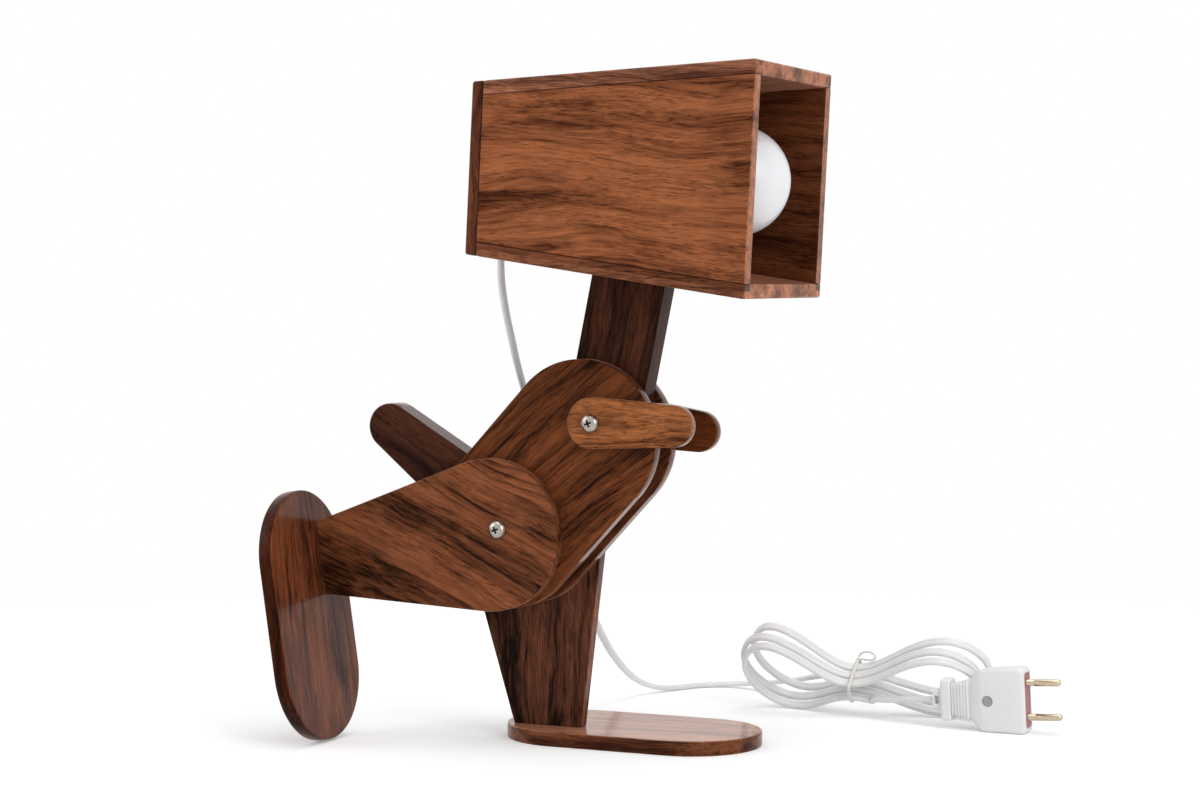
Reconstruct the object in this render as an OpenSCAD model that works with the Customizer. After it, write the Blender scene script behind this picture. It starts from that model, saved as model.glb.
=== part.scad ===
// Jointed wooden figure desk lamp: flat boards pivot on a hip bolt and a shoulder bolt, and the box head
// is the shade. X is forward, Y is to the figure's left, Z is up. The origin is on the underside of the
// base foot, in the middle plane of the figure, half way along that foot.

/* [Boards] */
// Thickness of the torso plates and legs
plate_t = 7.5; // [6:0.5:10]
// Thickness of the neck and tail, which fill the space between the torso plates
middle_t = 14.5; // [12:0.5:18]
// Thickness of the feet
foot_t = 8; // [6:0.5:12]
// Thickness of the arms
arm_t = 6.5; // [5:0.5:8]
// Side clearance between boards that turn on each other
layer_gap = 0.1; // [0.05:0.05:0.3]

/* [Torso] */
// Distance from the hip bolt to the shoulder bolt
bolt_span = 78.6; // [74:0.2:84]
// Distance between the centres of the torso plates' round ends
torso_len = 65.3; // [60:0.1:70]
// Radius of the torso plates' round ends
torso_r = 43; // [38:0.5:44]
// Lean of the torso above level, in degrees
torso_lean = 47.1; // [40:0.1:55]

/* [Legs] */
// Height of the hip bolt above the foot's face
leg_len = 109.5; // [108.5:0.5:120]
// Radius of a leg's round hip end
hip_r = 40.8; // [34:0.2:42]
// Distance from the hip bolt to the centre of that round end, along the leg
hip_set = 6.5; // [4:0.5:9]
// Width of a leg where it meets its foot
ankle_w = 40; // [30:0.5:50]
// Lean of the standing leg on its foot, in degrees
standing_cut = 5; // [0:0.5:8]
// Lean of the raised leg on its foot, in degrees
raised_cut = 0.7; // [0:0.1:5]
// Turn of the raised leg from standing, in degrees
raise = 81.6; // [70:0.1:85]

/* [Feet] */
// Length of the base foot
base_foot_len = 144; // [134:1:160]
// Length of the raised foot
raised_foot_len = 136; // [130:1:150]
// Width of the feet
foot_w = 77.5; // [66:0.5:90]
// Distance from the hip bolt forward to the middle of the base foot
base_foot_set = 54; // [48:1:60]
// Distance from the middle plane out to the middle of each foot
foot_side = 35; // [32:0.5:36]

/* [Tail and arms] */
// Distance from the hip bolt to the centre of the tail's tip
tail_len = 90; // [70:1:95]
// Radius of the tail's tip
tail_tip_r = 12.6; // [8:0.2:16]
// Radius of the tail around the hip bolt
tail_root_r = 20; // [16:0.5:24]
// Rise of the tail above level, in degrees
tail_rise = 35.6; // [20:0.1:50]
// Distance from the shoulder bolt to the centre of an arm's tip
arm_len = 46; // [36:1:48]
// Radius of an arm around the shoulder bolt
arm_root_r = 13.6; // [12:0.2:16]
// Radius of an arm's tip
arm_tip_r = 10.9; // [8:0.1:12]
// Droop of the right arm below level, in degrees
right_droop = 0.8; // [-10:0.1:10]
// Droop of the left arm below level, in degrees
left_droop = 6.5; // [-10:0.1:15]

/* [Neck] */
// Distance from the shoulder bolt to the underside of the head
neck_len = 79; // [76:1:90]
// Width of the neck board
neck_w = 42; // [36:0.5:46]
// Forward lean of the neck, in degrees
neck_lean = 11.6; // [8:0.1:16]

/* [Head] */
// Length of the head
head_len = 155; // [150:1:165]
// Width of the head
head_w = 114.5; // [106:0.5:130]
// Height of the head at the back
head_back_h = 89; // [84:0.5:100]
// Height of the head at its open front
head_front_h = 118.5; // [110:0.5:130]
// Downward nod of the head, in degrees
head_nod = 3; // [1:0.1:6]
// Distance from the head's back to the neck, along the underside
neck_set = 71.8; // [60:0.2:80]
// Thickness of the head's top and bottom boards
lid_t = 7.6; // [6:0.1:10]
// Thickness of the head's side boards
side_t = 8.4; // [6:0.1:12]
// Thickness of the head's back board
back_t = 6.6; // [5:0.1:8]

/* [Bolts and screws] */
// Diameter of the hip and shoulder bolts
bolt_d = 5; // [4:0.5:6]
// Radial clearance of the bolts in the boards
bolt_play = 0.05; // [0.02:0.01:0.08]
// Diameter of the bolt heads
bolt_head_d = 10; // [8:0.2:12]
// Height of the bolt heads
bolt_head_h = 3.7; // [2.5:0.1:4.5]
// Width of the lock nuts across their flats
nut_af = 8; // [7:0.5:10]
// Height of the lock nuts
nut_h = 5; // [4:0.5:6]
// Thickness of the washers
washer_t = 1; // [0.8:0.1:1.6]
// Diameter of the wood screws' shanks
screw_d = 3.5; // [3:0.1:4]
// Diameter of the wood screws' heads
screw_head_d = 6.8; // [6:0.1:7.2]
// Length of the wood screws
screw_len = 28; // [20:1:40]

/* [Lamp holder and bulb] */
// Diameter of the bulb's dome
bulb_d = 57; // [50:1:60]
// Overall length of the bulb with its cap
bulb_len = 108; // [100:1:112]
// Distance of the dome behind the head's open front
bulb_inset = 1; // [1:1:12]
// Diameter of the bulb's screw cap
cap_d = 26; // [25.5:0.1:26.4]
// Length of the bulb's screw cap
cap_len = 25; // [22:0.5:27]
// Diameter of the lamp holder
holder_d = 40; // [37:0.5:44]
// Diameter of the lamp holder's foot
holder_foot_d = 52; // [48:1:60]

/* [Lead and plug] */
// Width of the flat twin lead
lead_w = 5.4; // [4.8:0.1:5.6]
// Thickness of the flat twin lead
lead_t = 2.9; // [2.4:0.1:3.2]
// Number of loops in the hank
hank_loops = 3; // [2:1:3]
// Reach of the hank's front loops from its tie
hank_front = 77; // [70:1:80]
// Reach of the hank's rear loops from its tie
hank_rear = 67; // [60:1:72]
// Half width of the hank's front loops
front_lobe = 21; // [19:0.5:22]
// Half width of the hank's rear loops
rear_lobe = 23.5; // [21:0.5:24]
// Distance between neighbouring loops of the hank
hank_step = 6.2; // [6.1:0.1:6.6]
// Distance between the centres of the plug's pins
pin_span = 19; // [18:0.1:20]
// Diameter of the plug's pins
pin_d = 4; // [3.6:0.1:4.8]
// Length of the plug's pins
pin_len = 19; // [16:0.5:19.5]
// Height of the plug, standing on its narrow edge
plug_h = 37; // [34:0.5:40]
// Thickness of the plug
plug_t = 16; // [14:0.5:17]
// Length of the plug's body
plug_len = 32; // [28:0.5:36]

/* [Hidden] */

// colours
dark_wood = [0.27, 0.14, 0.09];
mid_wood = [0.40, 0.21, 0.12];
warm_wood = [0.52, 0.27, 0.13];
steel = [0.72, 0.71, 0.69];
brass = [0.80, 0.66, 0.42];
white_plastic = [0.93, 0.93, 0.92];

$fn = 64;
eps = 0.01;
seat = 0.02;
blend = 0.02;

// layers outward from the middle plane
plate_y = middle_t / 2 + layer_gap;
limb_y = plate_y + plate_t + layer_gap;
bolt_hole_d = bolt_d + 2 * bolt_play;

// bolts
hip = [-base_foot_set, foot_t + leg_len];
shoulder = hip + bolt_span * [cos(torso_lean), sin(torso_lean)];

// raised foot: its toe just touches the table
foot_pitch = 90 - raise;
toe_clear = 0.05;
raised_foot_set = (hip[1] - toe_clear - (leg_len + foot_t) * sin(foot_pitch)) / cos(foot_pitch)
    - raised_foot_len / 2;
hip_forward = 2.3;
ankle_screw_span = 20;

// head, in its own frame: x forward from the middle of its back, z up
head_taper = atan((head_front_h - head_back_h) / 2 / head_len);
lid_z = lid_t / cos(head_taper);
neck_top = shoulder + neck_len * [sin(neck_lean), cos(neck_lean)];
neck_spot = [neck_set * cos(head_taper), -head_back_h / 2 - neck_set * sin(head_taper)];
head_origin = neck_top - [neck_spot[0] * cos(head_nod) + neck_spot[1] * sin(head_nod),
    neck_spot[1] * cos(head_nod) - neck_spot[0] * sin(head_nod)];
neck_screw_span = 22;

// lamp holder and bulb, along x in the head's frame
bulb_front = head_len - bulb_inset;
cap_x = bulb_front - bulb_len;
cap_tip = 2.5;
holder_foot_t = 9;
holder_wall = 4;
sleeve_wall = 0.6;
cap_play = 0.35;
bulb_wall = 1.6;
holder_mouth = cap_x + cap_len + 1.5;
holder_screw_span = 2 * (holder_foot_d / 2 - 3.4);

// lead bush on the back of the head
bush_drop = 17;
bush_r = 4.2;
bush_bend = 5.5;
bush_flange_t = 1.5;
bush_flange_r = 8;
bush_tail = 20;
bush_tail_r = 3.5;
bush_hole_r = 3;

// hank of the lead: the middle of its tied waist, how its loops lean, and how far their ends rise
hank_at = [84, 169, 26];
hank_lean = 129;
hank_waist = 3.6;
front_lift = 2;
rear_lift = 9;
hank_from = -0.02;
hank_sides = 6;
hank_rings = 24;
plug_pitch = 3;
plug_neck = 21.7;
bevel = 7.5;
plug_rear_h = plug_h - 2 * (plug_len - bevel) * tan(plug_pitch);
plug_at = [137, 142, plug_rear_h / 2 * cos(plug_pitch) - (plug_neck + bevel) * sin(plug_pitch) + toe_clear];

// free stretch of the lead from the bush to the hank, and from the hank to the plug
run_points = [[-62.8, 1, 248], [-62.3, 4.5, 234], [-61.5, 10, 219], [-61, 16, 205], [-60.5, 24, 190],
    [-60, 33, 174], [-60, 43, 157], [-60, 54, 140], [-60, 66, 122], [-60, 79, 104], [-61, 93, 86],
    [-61, 107, 69], [-62, 121, 53], [-62, 136, 38], [-61, 151, 25], [-59, 165.5, 14.5],
    [-56, 179.5, 7.2], [-51, 192.5, 3], [-44, 206, 1.6], [-37, 218, 1.6], [-26, 226.5, 1.8],
    [-13, 228, 2.7], [0, 223, 4.6], [14, 214, 7.2], [28, 203.5, 10.4], [41, 194, 14], [53, 185.5, 17.4],
    [63, 178.5, 20.2]];
end_points = [[97, 153.5, 11.5], [108, 150.3, 12.2], [119, 147.2, 13.3], [129, 144.3, 14.6]];

function unit(v) = v / norm(v);
function mix(a, b, k) = a + (b - a) * k;
function head_place(x, z) = [head_origin[0] + x * cos(head_nod) + z * sin(head_nod), 0,
    head_origin[1] + z * cos(head_nod) - x * sin(head_nod)];
function smooth(k) = k * k * (3 - 2 * k);

// a point of the hank, t turns from the middle of its first lower run
function hank_reach(t) = let (c = cos(360 * t)) sin(360 * t) * (1 - 0.225 * c * c);
function hank_u(t) = (hank_reach(t) < 0 ? hank_rear : hank_front) * hank_reach(t);
function hank_v(t) = let (q = sin(360 * t), lobe = q < 0 ? rear_lobe : front_lobe)
    -cos(360 * t) * (hank_waist + lobe * (3.11 * q * q - 1.2 * pow(q, 4)));
function hank_rise(t) = (hank_reach(t) < 0 ? rear_lift : front_lift) * smooth(min(1, abs(hank_reach(t))));
function hank_climb(t) = let (f = t - floor(t)) floor(t) + smooth(max(0, min(1, (f - 0.34) / 0.32)));
function hank_point(t) = let (v = hank_v(t), n = hank_step * hank_climb(t)) hank_at + [hank_u(t),
    v * cos(hank_lean) - n * sin(hank_lean), v * sin(hank_lean) + n * cos(hank_lean) + hank_rise(t)];
hank_n = round(hank_rings * (hank_loops - 2 * hank_from));
hank_points = [for (i = [0:hank_n]) hank_point(mix(hank_from, hank_loops - hank_from, i / hank_n))];
hank_up = [0, -sin(hank_lean), cos(hank_lean)];
hank_in = unit(hank_points[1] - hank_points[0]);
hank_out = unit(hank_points[hank_n] - hank_points[hank_n - 1]);
bush_end = head_place(-bush_flange_t - bush_bend, -bush_drop - bush_bend - bush_tail);
run_all = concat([bush_end, bush_end - 6 * [sin(head_nod), 0, cos(head_nod)]], run_points,
    [hank_points[0] - 7 * hank_in, hank_points[0]]);
end_all = concat([hank_points[hank_n], hank_points[hank_n] + 6 * hank_out], end_points, [plug_at]);

// least gap of the hank to itself: distance between its centre lines less its width
hank_fine = [for (i = [0:4 * hank_n]) hank_point(mix(hank_from, hank_loops - hank_from, i / 4 / hank_n))];
hank_far = 4 * hank_rings / 3;
hank_gap = min([for (i = [0:len(hank_fine) - 1], j = [i + hank_far:len(hank_fine) - 1])
    norm(hank_fine[i] - hank_fine[j])]) - lead_w;
echo(hank_least_gap = hank_gap);
echo(hip = hip, shoulder = shoulder, head_origin = head_origin, cap_x = cap_x, bush_end = bush_end);
echo(hank_start = hank_points[0], hank_end = hank_points[hank_n], rings = hank_n);

// one polyhedron swept along points: at each point, across gives the direction of the lead's width
module flat_tube(points, across, sides) {
    n = len(points);
    rings = [for (i = [0:n - 1])
        let (t = unit(points[min(i + 1, n - 1)] - points[max(i - 1, 0)]),
            w = unit(across[i] - (across[i] * t) * t), s = cross(t, w))
        for (k = [0:sides - 1])
            points[i] + lead_w / 2 * cos(360 * (k + 0.5) / sides) * w / cos(180 / sides)
                + lead_t / 2 * sin(360 * (k + 0.5) / sides) * s];
    walls = [for (i = [0:n - 2], k = [0:sides - 1])
        let (a = i * sides + k, b = i * sides + (k + 1) % sides)
        each [[a, b, a + sides], [b, b + sides, a + sides]]];
    caps = [for (k = [1:sides - 2]) each [[0, k + 1, k],
        [(n - 1) * sides, (n - 1) * sides + k, (n - 1) * sides + k + 1]]];
    polyhedron(points = rings, faces = concat(walls, caps));
}

// flat board shape between two circles, d apart along -x to +x
module tapered_outline(r1, r2, d) {
    a = asin((r1 - r2) / d);
    s1 = r1 - blend;
    s2 = r2 - blend;
    union() {
        circle(r1);
        translate([d, 0]) circle(r2);
        polygon([[s1 * sin(a), -s1 * cos(a)], [d + s2 * sin(a), -s2 * cos(a)],
            [d + s2 * sin(a), s2 * cos(a)], [s1 * sin(a), s1 * cos(a)]]);
    }
}

// stands a flat outline up in the X-Z plane, from y to y + t
module board(y, t) {
    translate([0, y + t, 0]) rotate([90, 0, 0]) linear_extrude(t) children();
}

// cylinder along Y from y0 to y1
module rod_y(r, y0, y1) {
    translate([0, y1, 0]) rotate([90, 0, 0]) cylinder(r = r, h = y1 - y0);
}

// cylinder along X from x0 to x1
module rod_x(r, x0, x1, r2 = -1) {
    translate([x0, 0, 0]) rotate([0, 90, 0]) cylinder(r1 = r, r2 = r2 < 0 ? r : r2, h = x1 - x0);
}

module at_hip() {
    translate([hip[0], 0, hip[1]]) children();
}

module at_shoulder() {
    translate([shoulder[0], 0, shoulder[1]]) children();
}

module at_head() {
    translate([head_origin[0], 0, head_origin[1]]) rotate([0, head_nod, 0]) children();
}

// wood screw with its head up at z = 0 and its point down
module wood_screw(grow = 0) {
    rotate_extrude() polygon([[0, grow ? 1 : 0], [screw_head_d / 2 + grow, grow ? 1 : 0],
        [screw_head_d / 2 + grow, -0.4], [screw_d / 2 + grow, -0.4 - (screw_head_d - screw_d) / 2],
        [screw_d / 2 + grow, -screw_len + 4], [grow, -screw_len - grow], [0, -screw_len - grow]]);
}

// through bolt: pan head with a cross recess on the figure's right, washer and lock nut on its left
module through_bolt(reach) {
    dome = bolt_head_h * 0.55;
    difference() {
        union() {
            rod_y(bolt_d / 2, -reach, reach + washer_t + nut_h + 1.5);
            translate([0, -reach, 0]) rotate([90, 0, 0]) rotate_extrude() intersection() {
                translate([0, dome - (bolt_head_d * bolt_head_d / 4 - dome * dome) / 2 / dome])
                    circle(r = (bolt_head_d * bolt_head_d / 4 + dome * dome) / 2 / dome, $fn = 96);
                square([bolt_head_d / 2, bolt_head_h]);
            }
            rod_y(bolt_head_d / 2 - 0.05, -reach - bolt_head_h + dome, -reach);
        }
        for (turn = [20, 110])
            translate([0, -reach - bolt_head_h, 0]) rotate([0, turn, 0])
                cube([bolt_head_d * 0.48, 4, 1], center = true);
    }
}

module bolt_nut(reach) {
    difference() {
        union() {
            rod_y(bolt_d + 0.2, reach, reach + washer_t);
            translate([0, reach + washer_t + nut_h, 0]) rotate([90, 0, 0])
                cylinder(d = nut_af / cos(30), h = nut_h, $fn = 6);
        }
        rod_y(bolt_d / 2 + seat, reach - 1, reach + washer_t + nut_h + 1);
    }
}

module bolt_hole() {
    rod_y(bolt_hole_d / 2, -100, 100);
}

// leg with the hip bolt at its origin, the foot's face leg_len below and the toe towards +x
module leg(cut) {
    reach = leg_len - hip_set;
    far = norm([reach, ankle_w / 2]);
    side = acos(hip_r / far) + atan(ankle_w / 2 / reach);
    pull = 12 / reach * (hip_r * sin(side) - ankle_w / 2);
    difference() {
        intersection() {
            rotate([0, -cut, 0]) translate([hip_forward, 0, -hip_set]) board(0, plate_t) union() {
                circle(r = hip_r, $fn = 128);
                polygon([[-ankle_w / 2 + pull, -reach - 12], [ankle_w / 2 - pull, -reach - 12],
                    [(hip_r - blend) * sin(side), -(hip_r - blend) * cos(side)],
                    [-(hip_r - blend) * sin(side), -(hip_r - blend) * cos(side)]]);
            }
            translate([-100, -1, -leg_len]) cube([200, plate_t + 2, 200]);
        }
        bolt_hole();
        ankle_screws(cut, seat);
    }
}

// screws from the sole up into the end of the leg
module ankle_screws(cut, grow = 0) {
    for (k = [-0.5, 0.5])
        translate([hip_forward + leg_len * sin(cut) + k * ankle_screw_span, plate_t / 2, -leg_len - foot_t])
            rotate([180, 0, 0]) wood_screw(grow);
}

// foot under a leg: set is how far its middle lies forward of the hip bolt
module foot(set, length, cut) {
    difference() {
        translate([set, foot_side - limb_y, -leg_len - foot_t]) linear_extrude(foot_t) union() {
            square([length - foot_w, foot_w - 2 * blend], center = true);
            translate([(foot_w - length) / 2, 0]) circle(d = foot_w, $fn = 128);
            translate([(length - foot_w) / 2, 0]) circle(d = foot_w, $fn = 128);
        }
        ankle_screws(cut, seat);
    }
}

module place_standing() {
    at_hip() translate([0, limb_y, 0]) children();
}

module place_raised() {
    mirror([0, 1, 0]) at_hip() rotate([0, raise, 0]) translate([0, limb_y, 0]) children();
}

module base_foot() {
    color(mid_wood) place_standing() foot(base_foot_set, base_foot_len, standing_cut);
}

module standing_leg() {
    color(mid_wood) place_standing() leg(standing_cut);
}

module standing_leg_screws() {
    color(steel) place_standing() ankle_screws(standing_cut);
}

module raised_leg() {
    color(mid_wood) place_raised() leg(raised_cut);
}

module raised_foot() {
    color(dark_wood) place_raised() foot(raised_foot_set, raised_foot_len, raised_cut);
}

module raised_leg_screws() {
    color(steel) place_raised() ankle_screws(raised_cut);
}

module torso_plate() {
    difference() {
        at_hip() rotate([0, -torso_lean, 0]) board(plate_y, plate_t) union() {
            circle(r = torso_r, $fn = 128);
            translate([torso_len, 0]) circle(r = torso_r, $fn = 128);
            translate([0, blend - torso_r]) square([torso_len, 2 * (torso_r - blend)]);
        }
        at_hip() bolt_hole();
        at_shoulder() bolt_hole();
    }
}

module torso_plate_left() {
    color(mid_wood) torso_plate();
}

module torso_plate_right() {
    color(mid_wood) mirror([0, 1, 0]) torso_plate();
}

module hip_bolt() {
    color(steel) at_hip() through_bolt(limb_y + plate_t);
}

module hip_nut() {
    color(steel) at_hip() bolt_nut(limb_y + plate_t);
}

module shoulder_bolt() {
    color(steel) at_shoulder() through_bolt(limb_y + arm_t);
}

module shoulder_nut() {
    color(steel) at_shoulder() bolt_nut(limb_y + arm_t);
}

module arm(droop) {
    at_shoulder() rotate([0, droop, 0]) difference() {
        board(limb_y, arm_t) tapered_outline(arm_root_r, arm_tip_r, arm_len);
        bolt_hole();
    }
}

module left_arm() {
    color(warm_wood) arm(left_droop);
}

module right_arm() {
    color(warm_wood) mirror([0, 1, 0]) arm(right_droop);
}

module tail() {
    color(dark_wood) at_hip() rotate([0, tail_rise - 180, 0]) difference() {
        board(-middle_t / 2, middle_t) tapered_outline(tail_root_r, tail_tip_r, tail_len);
        bolt_hole();
    }
}

// everything below the underside of the head
module below_head() {
    at_head() board(-head_w, 2 * head_w)
        polygon([[-60, -head_back_h / 2 + 60 * tan(head_taper)],
            [head_len, -head_back_h / 2 - head_len * tan(head_taper)], [head_len, -300], [-60, -300]]);
}

module neck() {
    color(dark_wood) difference() {
        intersection() {
            at_shoulder() rotate([0, neck_lean, 0]) board(-middle_t / 2, middle_t) union() {
                circle(d = neck_w);
                translate([-neck_w / 2, 0]) square([neck_w, neck_len + 20]);
            }
            below_head();
        }
        at_shoulder() bolt_hole();
        place_neck_screws() wood_screw(seat);
    }
}

// screws through the head's bottom board down into the neck
module place_neck_screws() {
    at_head() translate([neck_spot[0], 0, neck_spot[1]]) rotate([0, head_taper, 0])
        for (k = [-0.5, 0.5])
            translate([k * neck_screw_span, 0, lid_t]) children();
}

module neck_screws() {
    color(steel) place_neck_screws() wood_screw();
}

// head outline at x: half its height, less inset
function half_h(x, inset = 0) = head_back_h / 2 + x * tan(head_taper) - inset;

module head_lid(up) {
    at_head() board(-head_w / 2, head_w)
        polygon([[back_t, up * half_h(back_t, lid_z)], [head_len, up * half_h(head_len, lid_z)],
            [head_len, up * half_h(head_len)], [back_t, up * half_h(back_t)]]);
}

module head_top() {
    color(warm_wood) head_lid(1);
}

module head_bottom() {
    color(warm_wood) difference() {
        head_lid(-1);
        place_neck_screws() wood_screw(seat);
    }
}

module head_side(y) {
    at_head() board(y, side_t)
        polygon([[back_t, -half_h(back_t, lid_z)], [head_len, -half_h(head_len, lid_z)],
            [head_len, half_h(head_len, lid_z)], [back_t, half_h(back_t, lid_z)]]);
}

module head_side_right() {
    color(warm_wood) head_side(-head_w / 2);
}

module head_side_left() {
    color(warm_wood) head_side(head_w / 2 - side_t);
}

module head_back() {
    color(dark_wood) at_head() difference() {
        board(-head_w / 2, head_w)
            polygon([[0, -half_h(0)], [back_t, -half_h(back_t)], [back_t, half_h(back_t)], [0, half_h(0)]]);
        translate([0, 0, -bush_drop]) rod_x(bush_hole_r, -1, back_t + 1);
        place_holder_screws() wood_pin(seat);
    }
}

// lamp holder screws: short pins with flat heads, driven back into the back board
module place_holder_screws() {
    for (k = [-0.5, 0.5])
        translate([back_t, k * holder_screw_span, 0]) children();
}

module wood_pin(grow = 0) {
    rod_x(1.5 + grow, -back_t + 1.2 - grow, holder_foot_t - 2);
    rod_x(2.8 + grow, holder_foot_t - 2, holder_foot_t + (grow ? 1 : 0));
}

module holder_screws() {
    color(steel) at_head() place_holder_screws() wood_pin();
}

module lamp_holder() {
    color(white_plastic) at_head() difference() {
        union() {
            rod_x(holder_foot_d / 2, back_t, back_t + holder_foot_t);
            rod_x(holder_d / 2, back_t + holder_foot_t - eps, holder_mouth);
        }
        rod_x(cap_d / 2 + cap_play + sleeve_wall, cap_x - 2, holder_mouth + 1);
        rod_x(holder_d / 2 - holder_wall, back_t - 1, back_t + holder_foot_t);
        rod_x(4, back_t, cap_x);
        translate([0, 0, -bush_drop]) rod_x(bush_hole_r, back_t - 1, back_t + 4);
        place_holder_screws() wood_pin(seat);
    }
}

module holder_sleeve() {
    color(brass) at_head() difference() {
        rod_x(cap_d / 2 + cap_play + sleeve_wall - seat, cap_x - 1.5, holder_mouth - 4);
        rod_x(cap_d / 2 + cap_play, cap_x - 0.9, holder_mouth);
        rod_x(6, cap_x - 2, cap_x);
    }
}

module holder_contact() {
    color(brass) at_head() union() {
        rod_x(4 - seat, cap_x - 8, cap_x - 3.4);
        rod_x(2.2, cap_x - 3.5, cap_x - cap_tip + 2.5 - seat);
    }
}

// cap with a rounded screw thread drawn as closed ridges
module bulb_cap() {
    ridges = 5;
    pitch = 3.6;
    color(steel) at_head() translate([cap_x, 0, 0]) rotate([0, 90, 0]) union() {
        rotate_extrude() polygon(concat([[0, 0], [4.5, 0], [9, 3.2], [cap_d / 2 - 1.1, 4]],
            [for (i = [0:ridges - 1]) each [[cap_d / 2, 4 + pitch * (i + 0.5)],
                [cap_d / 2 - 1.1, 4 + pitch * (i + 1)]]],
            [[cap_d / 2 - 0.4, cap_len], [0, cap_len]]));
    }
}

// upper half of the bulb's housing profile: radius and place along the bulb
function bulb_profile(inset) = let (join = bulb_front - bulb_d * 0.68, r = bulb_d * 0.466)
    [[cap_d / 2 + 0.4 - inset, cap_x + cap_len], [cap_d / 2 + 1 - inset, cap_x + cap_len + 1.5],
    [cap_d / 2 + 2.2 - inset, cap_x + cap_len + 8],
    [cap_d / 2 + 6.2 - inset, mix(cap_x + cap_len, join, 0.62)], [r - 1.6 - inset, join - 3.5],
    [r - inset, join]];

module bulb_body() {
    color(white_plastic) at_head() rotate([0, 90, 0]) rotate_extrude()
        polygon(concat([[4, cap_x + cap_len]], bulb_profile(0),
            [for (i = [5:-1:1]) bulb_profile(bulb_wall)[i]], [[4, cap_x + cap_len + 1.5]]));
}

module bulb_dome() {
    centre = bulb_front - bulb_d / 2;
    color([0.96, 0.96, 0.95]) at_head() difference() {
        translate([centre, 0, 0]) rotate([0, 90, 0]) rotate_extrude($fn = 96) intersection() {
            difference() {
                circle(d = bulb_d);
                circle(d = bulb_d - 2 * bulb_wall);
            }
            translate([0, -bulb_d]) square(2 * bulb_d);
        }
        rod_x(bulb_d, 0, centre - bulb_d * 0.18);
    }
}

// moulded elbow on the head's back that leads the flat lead down
module lead_bush() {
    color(white_plastic) at_head() translate([0, 0, -bush_drop]) union() {
        rod_x(bush_flange_r, -bush_flange_t, 0);
        translate([-bush_flange_t, 0, -bush_bend]) rotate([90, 0, 0])
            rotate([0, 0, 90]) rotate_extrude(angle = 90) translate([bush_bend, 0]) circle(bush_r);
        translate([-bush_flange_t - bush_bend, 0, -bush_bend - bush_tail])
            cylinder(r1 = bush_tail_r, r2 = bush_r, h = bush_tail);
    }
}

module inner_lead() {
    color(white_plastic) at_head() translate([0, 0, -bush_drop])
        rod_x(bush_hole_r - 0.3, 0.2, back_t + 3.5);
}

// width of the lead: across the figure at the bush, flat on the table, and square to the hank's loops
function run_across(i) = let (n = len(run_all) - 1, k = i / n,
    t = unit(run_all[min(i + 1, n)] - run_all[max(i - 1, 0)]), flat = [-t[1], t[0], 0])
    k < 0.6 ? mix([0, 1, 0], flat, smooth(k / 0.6)) : mix(flat, -hank_up, smooth(max(0, (k - 0.75) / 0.25)));

module cord_run() {
    color(white_plastic) flat_tube(run_all, [for (i = [0:len(run_all) - 1]) run_across(i)], 8);
}

module cord_hank() {
    color(white_plastic) flat_tube(hank_points, [for (p = hank_points) hank_up], hank_sides);
}

module cord_end() {
    n = len(end_all) - 1;
    color(white_plastic) flat_tube(end_all, [for (i = [0:n]) mix(-hank_up, [0, 1, 0], i / n)], 8);
}

// tie round the waist of the hank
module cord_tie() {
    thick = 1.2;
    wide = 2;
    play = 0.4;
    low = -lead_w / 2 - play;
    high = hank_loops * hank_step + lead_w / 2 + play;
    half = hank_waist + lead_t / 2 + play + 0.8;
    color(white_plastic) translate(hank_at) rotate([hank_lean, 0, 0])
        rotate([90, 0, 90]) linear_extrude(wide, center = true) difference() {
            translate([-half - thick, low - thick]) square([2 * (half + thick), high - low + 2 * thick]);
            translate([-half, low]) square([2 * half, high - low]);
        }
}

// plug, in its own frame: x towards the pins from the rear of its collar, z up from its narrow edge
module at_plug() {
    translate(plug_at) rotate([0, -plug_pitch, 0]) children();
}

// upright block from x0 to x1, h0 then h1 high, w0 then w1 thick, about the plug's axis
module plug_block(x0, x1, h0, h1, w0, w1) {
    hull() {
        translate([x0, 0, 0]) cube([eps, w0, h0], center = true);
        translate([x1, 0, 0]) cube([eps, w1, h1], center = true);
    }
}

module plug_grip() {
    ribs = 6;
    rib_pitch = 1.75;
    color(white_plastic) at_plug() union() {
        plug_block(0, 5.4, 11, 11, 8, 8);
        plug_block(5.4 - eps, 11, 23.5, 23.5, 12, 12);
        plug_block(11 - eps, plug_neck, 16, 22, 9.5, 11.5);
        for (i = [0:ribs - 1])
            translate([11.6 + i * rib_pitch, 0, 0])
                cube([0.9, 11.4 + i * 0.25, 18 + i * 0.9], center = true);
    }
}

module plug_body() {
    front = plug_neck + plug_len;
    color(white_plastic) at_plug() difference() {
        union() {
            plug_block(plug_neck, plug_neck + bevel, 22, plug_rear_h, 11.5, plug_t);
            plug_block(plug_neck + bevel - eps, front, plug_rear_h, plug_h, plug_t, plug_t);
        }
        translate([front - 2, -plug_t / 2 + 2, 4 - plug_h / 2]) cube([3, plug_t - 4, plug_h - 8]);
        translate([plug_neck + 11, -plug_t / 2 + 1.5, 0]) rod_y(3.1, -3, 0);
        for (k = [-0.5, 0.5])
            translate([0, 0, k * pin_span]) rod_x(pin_d / 2 + seat, front - 12, front);
    }
}

module plug_face() {
    front = plug_neck + plug_len;
    color([0.55, 0.24, 0.23]) at_plug() difference() {
        translate([front - 2 + seat, -plug_t / 2 + 2 + seat, 4 + seat - plug_h / 2])
            cube([1.6, plug_t - 4 - 2 * seat, plug_h - 8 - 2 * seat]);
        for (k = [-0.5, 0.5])
            translate([0, 0, k * pin_span]) rod_x(pin_d / 2 + seat, front - 12, front + 5);
    }
}

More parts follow.
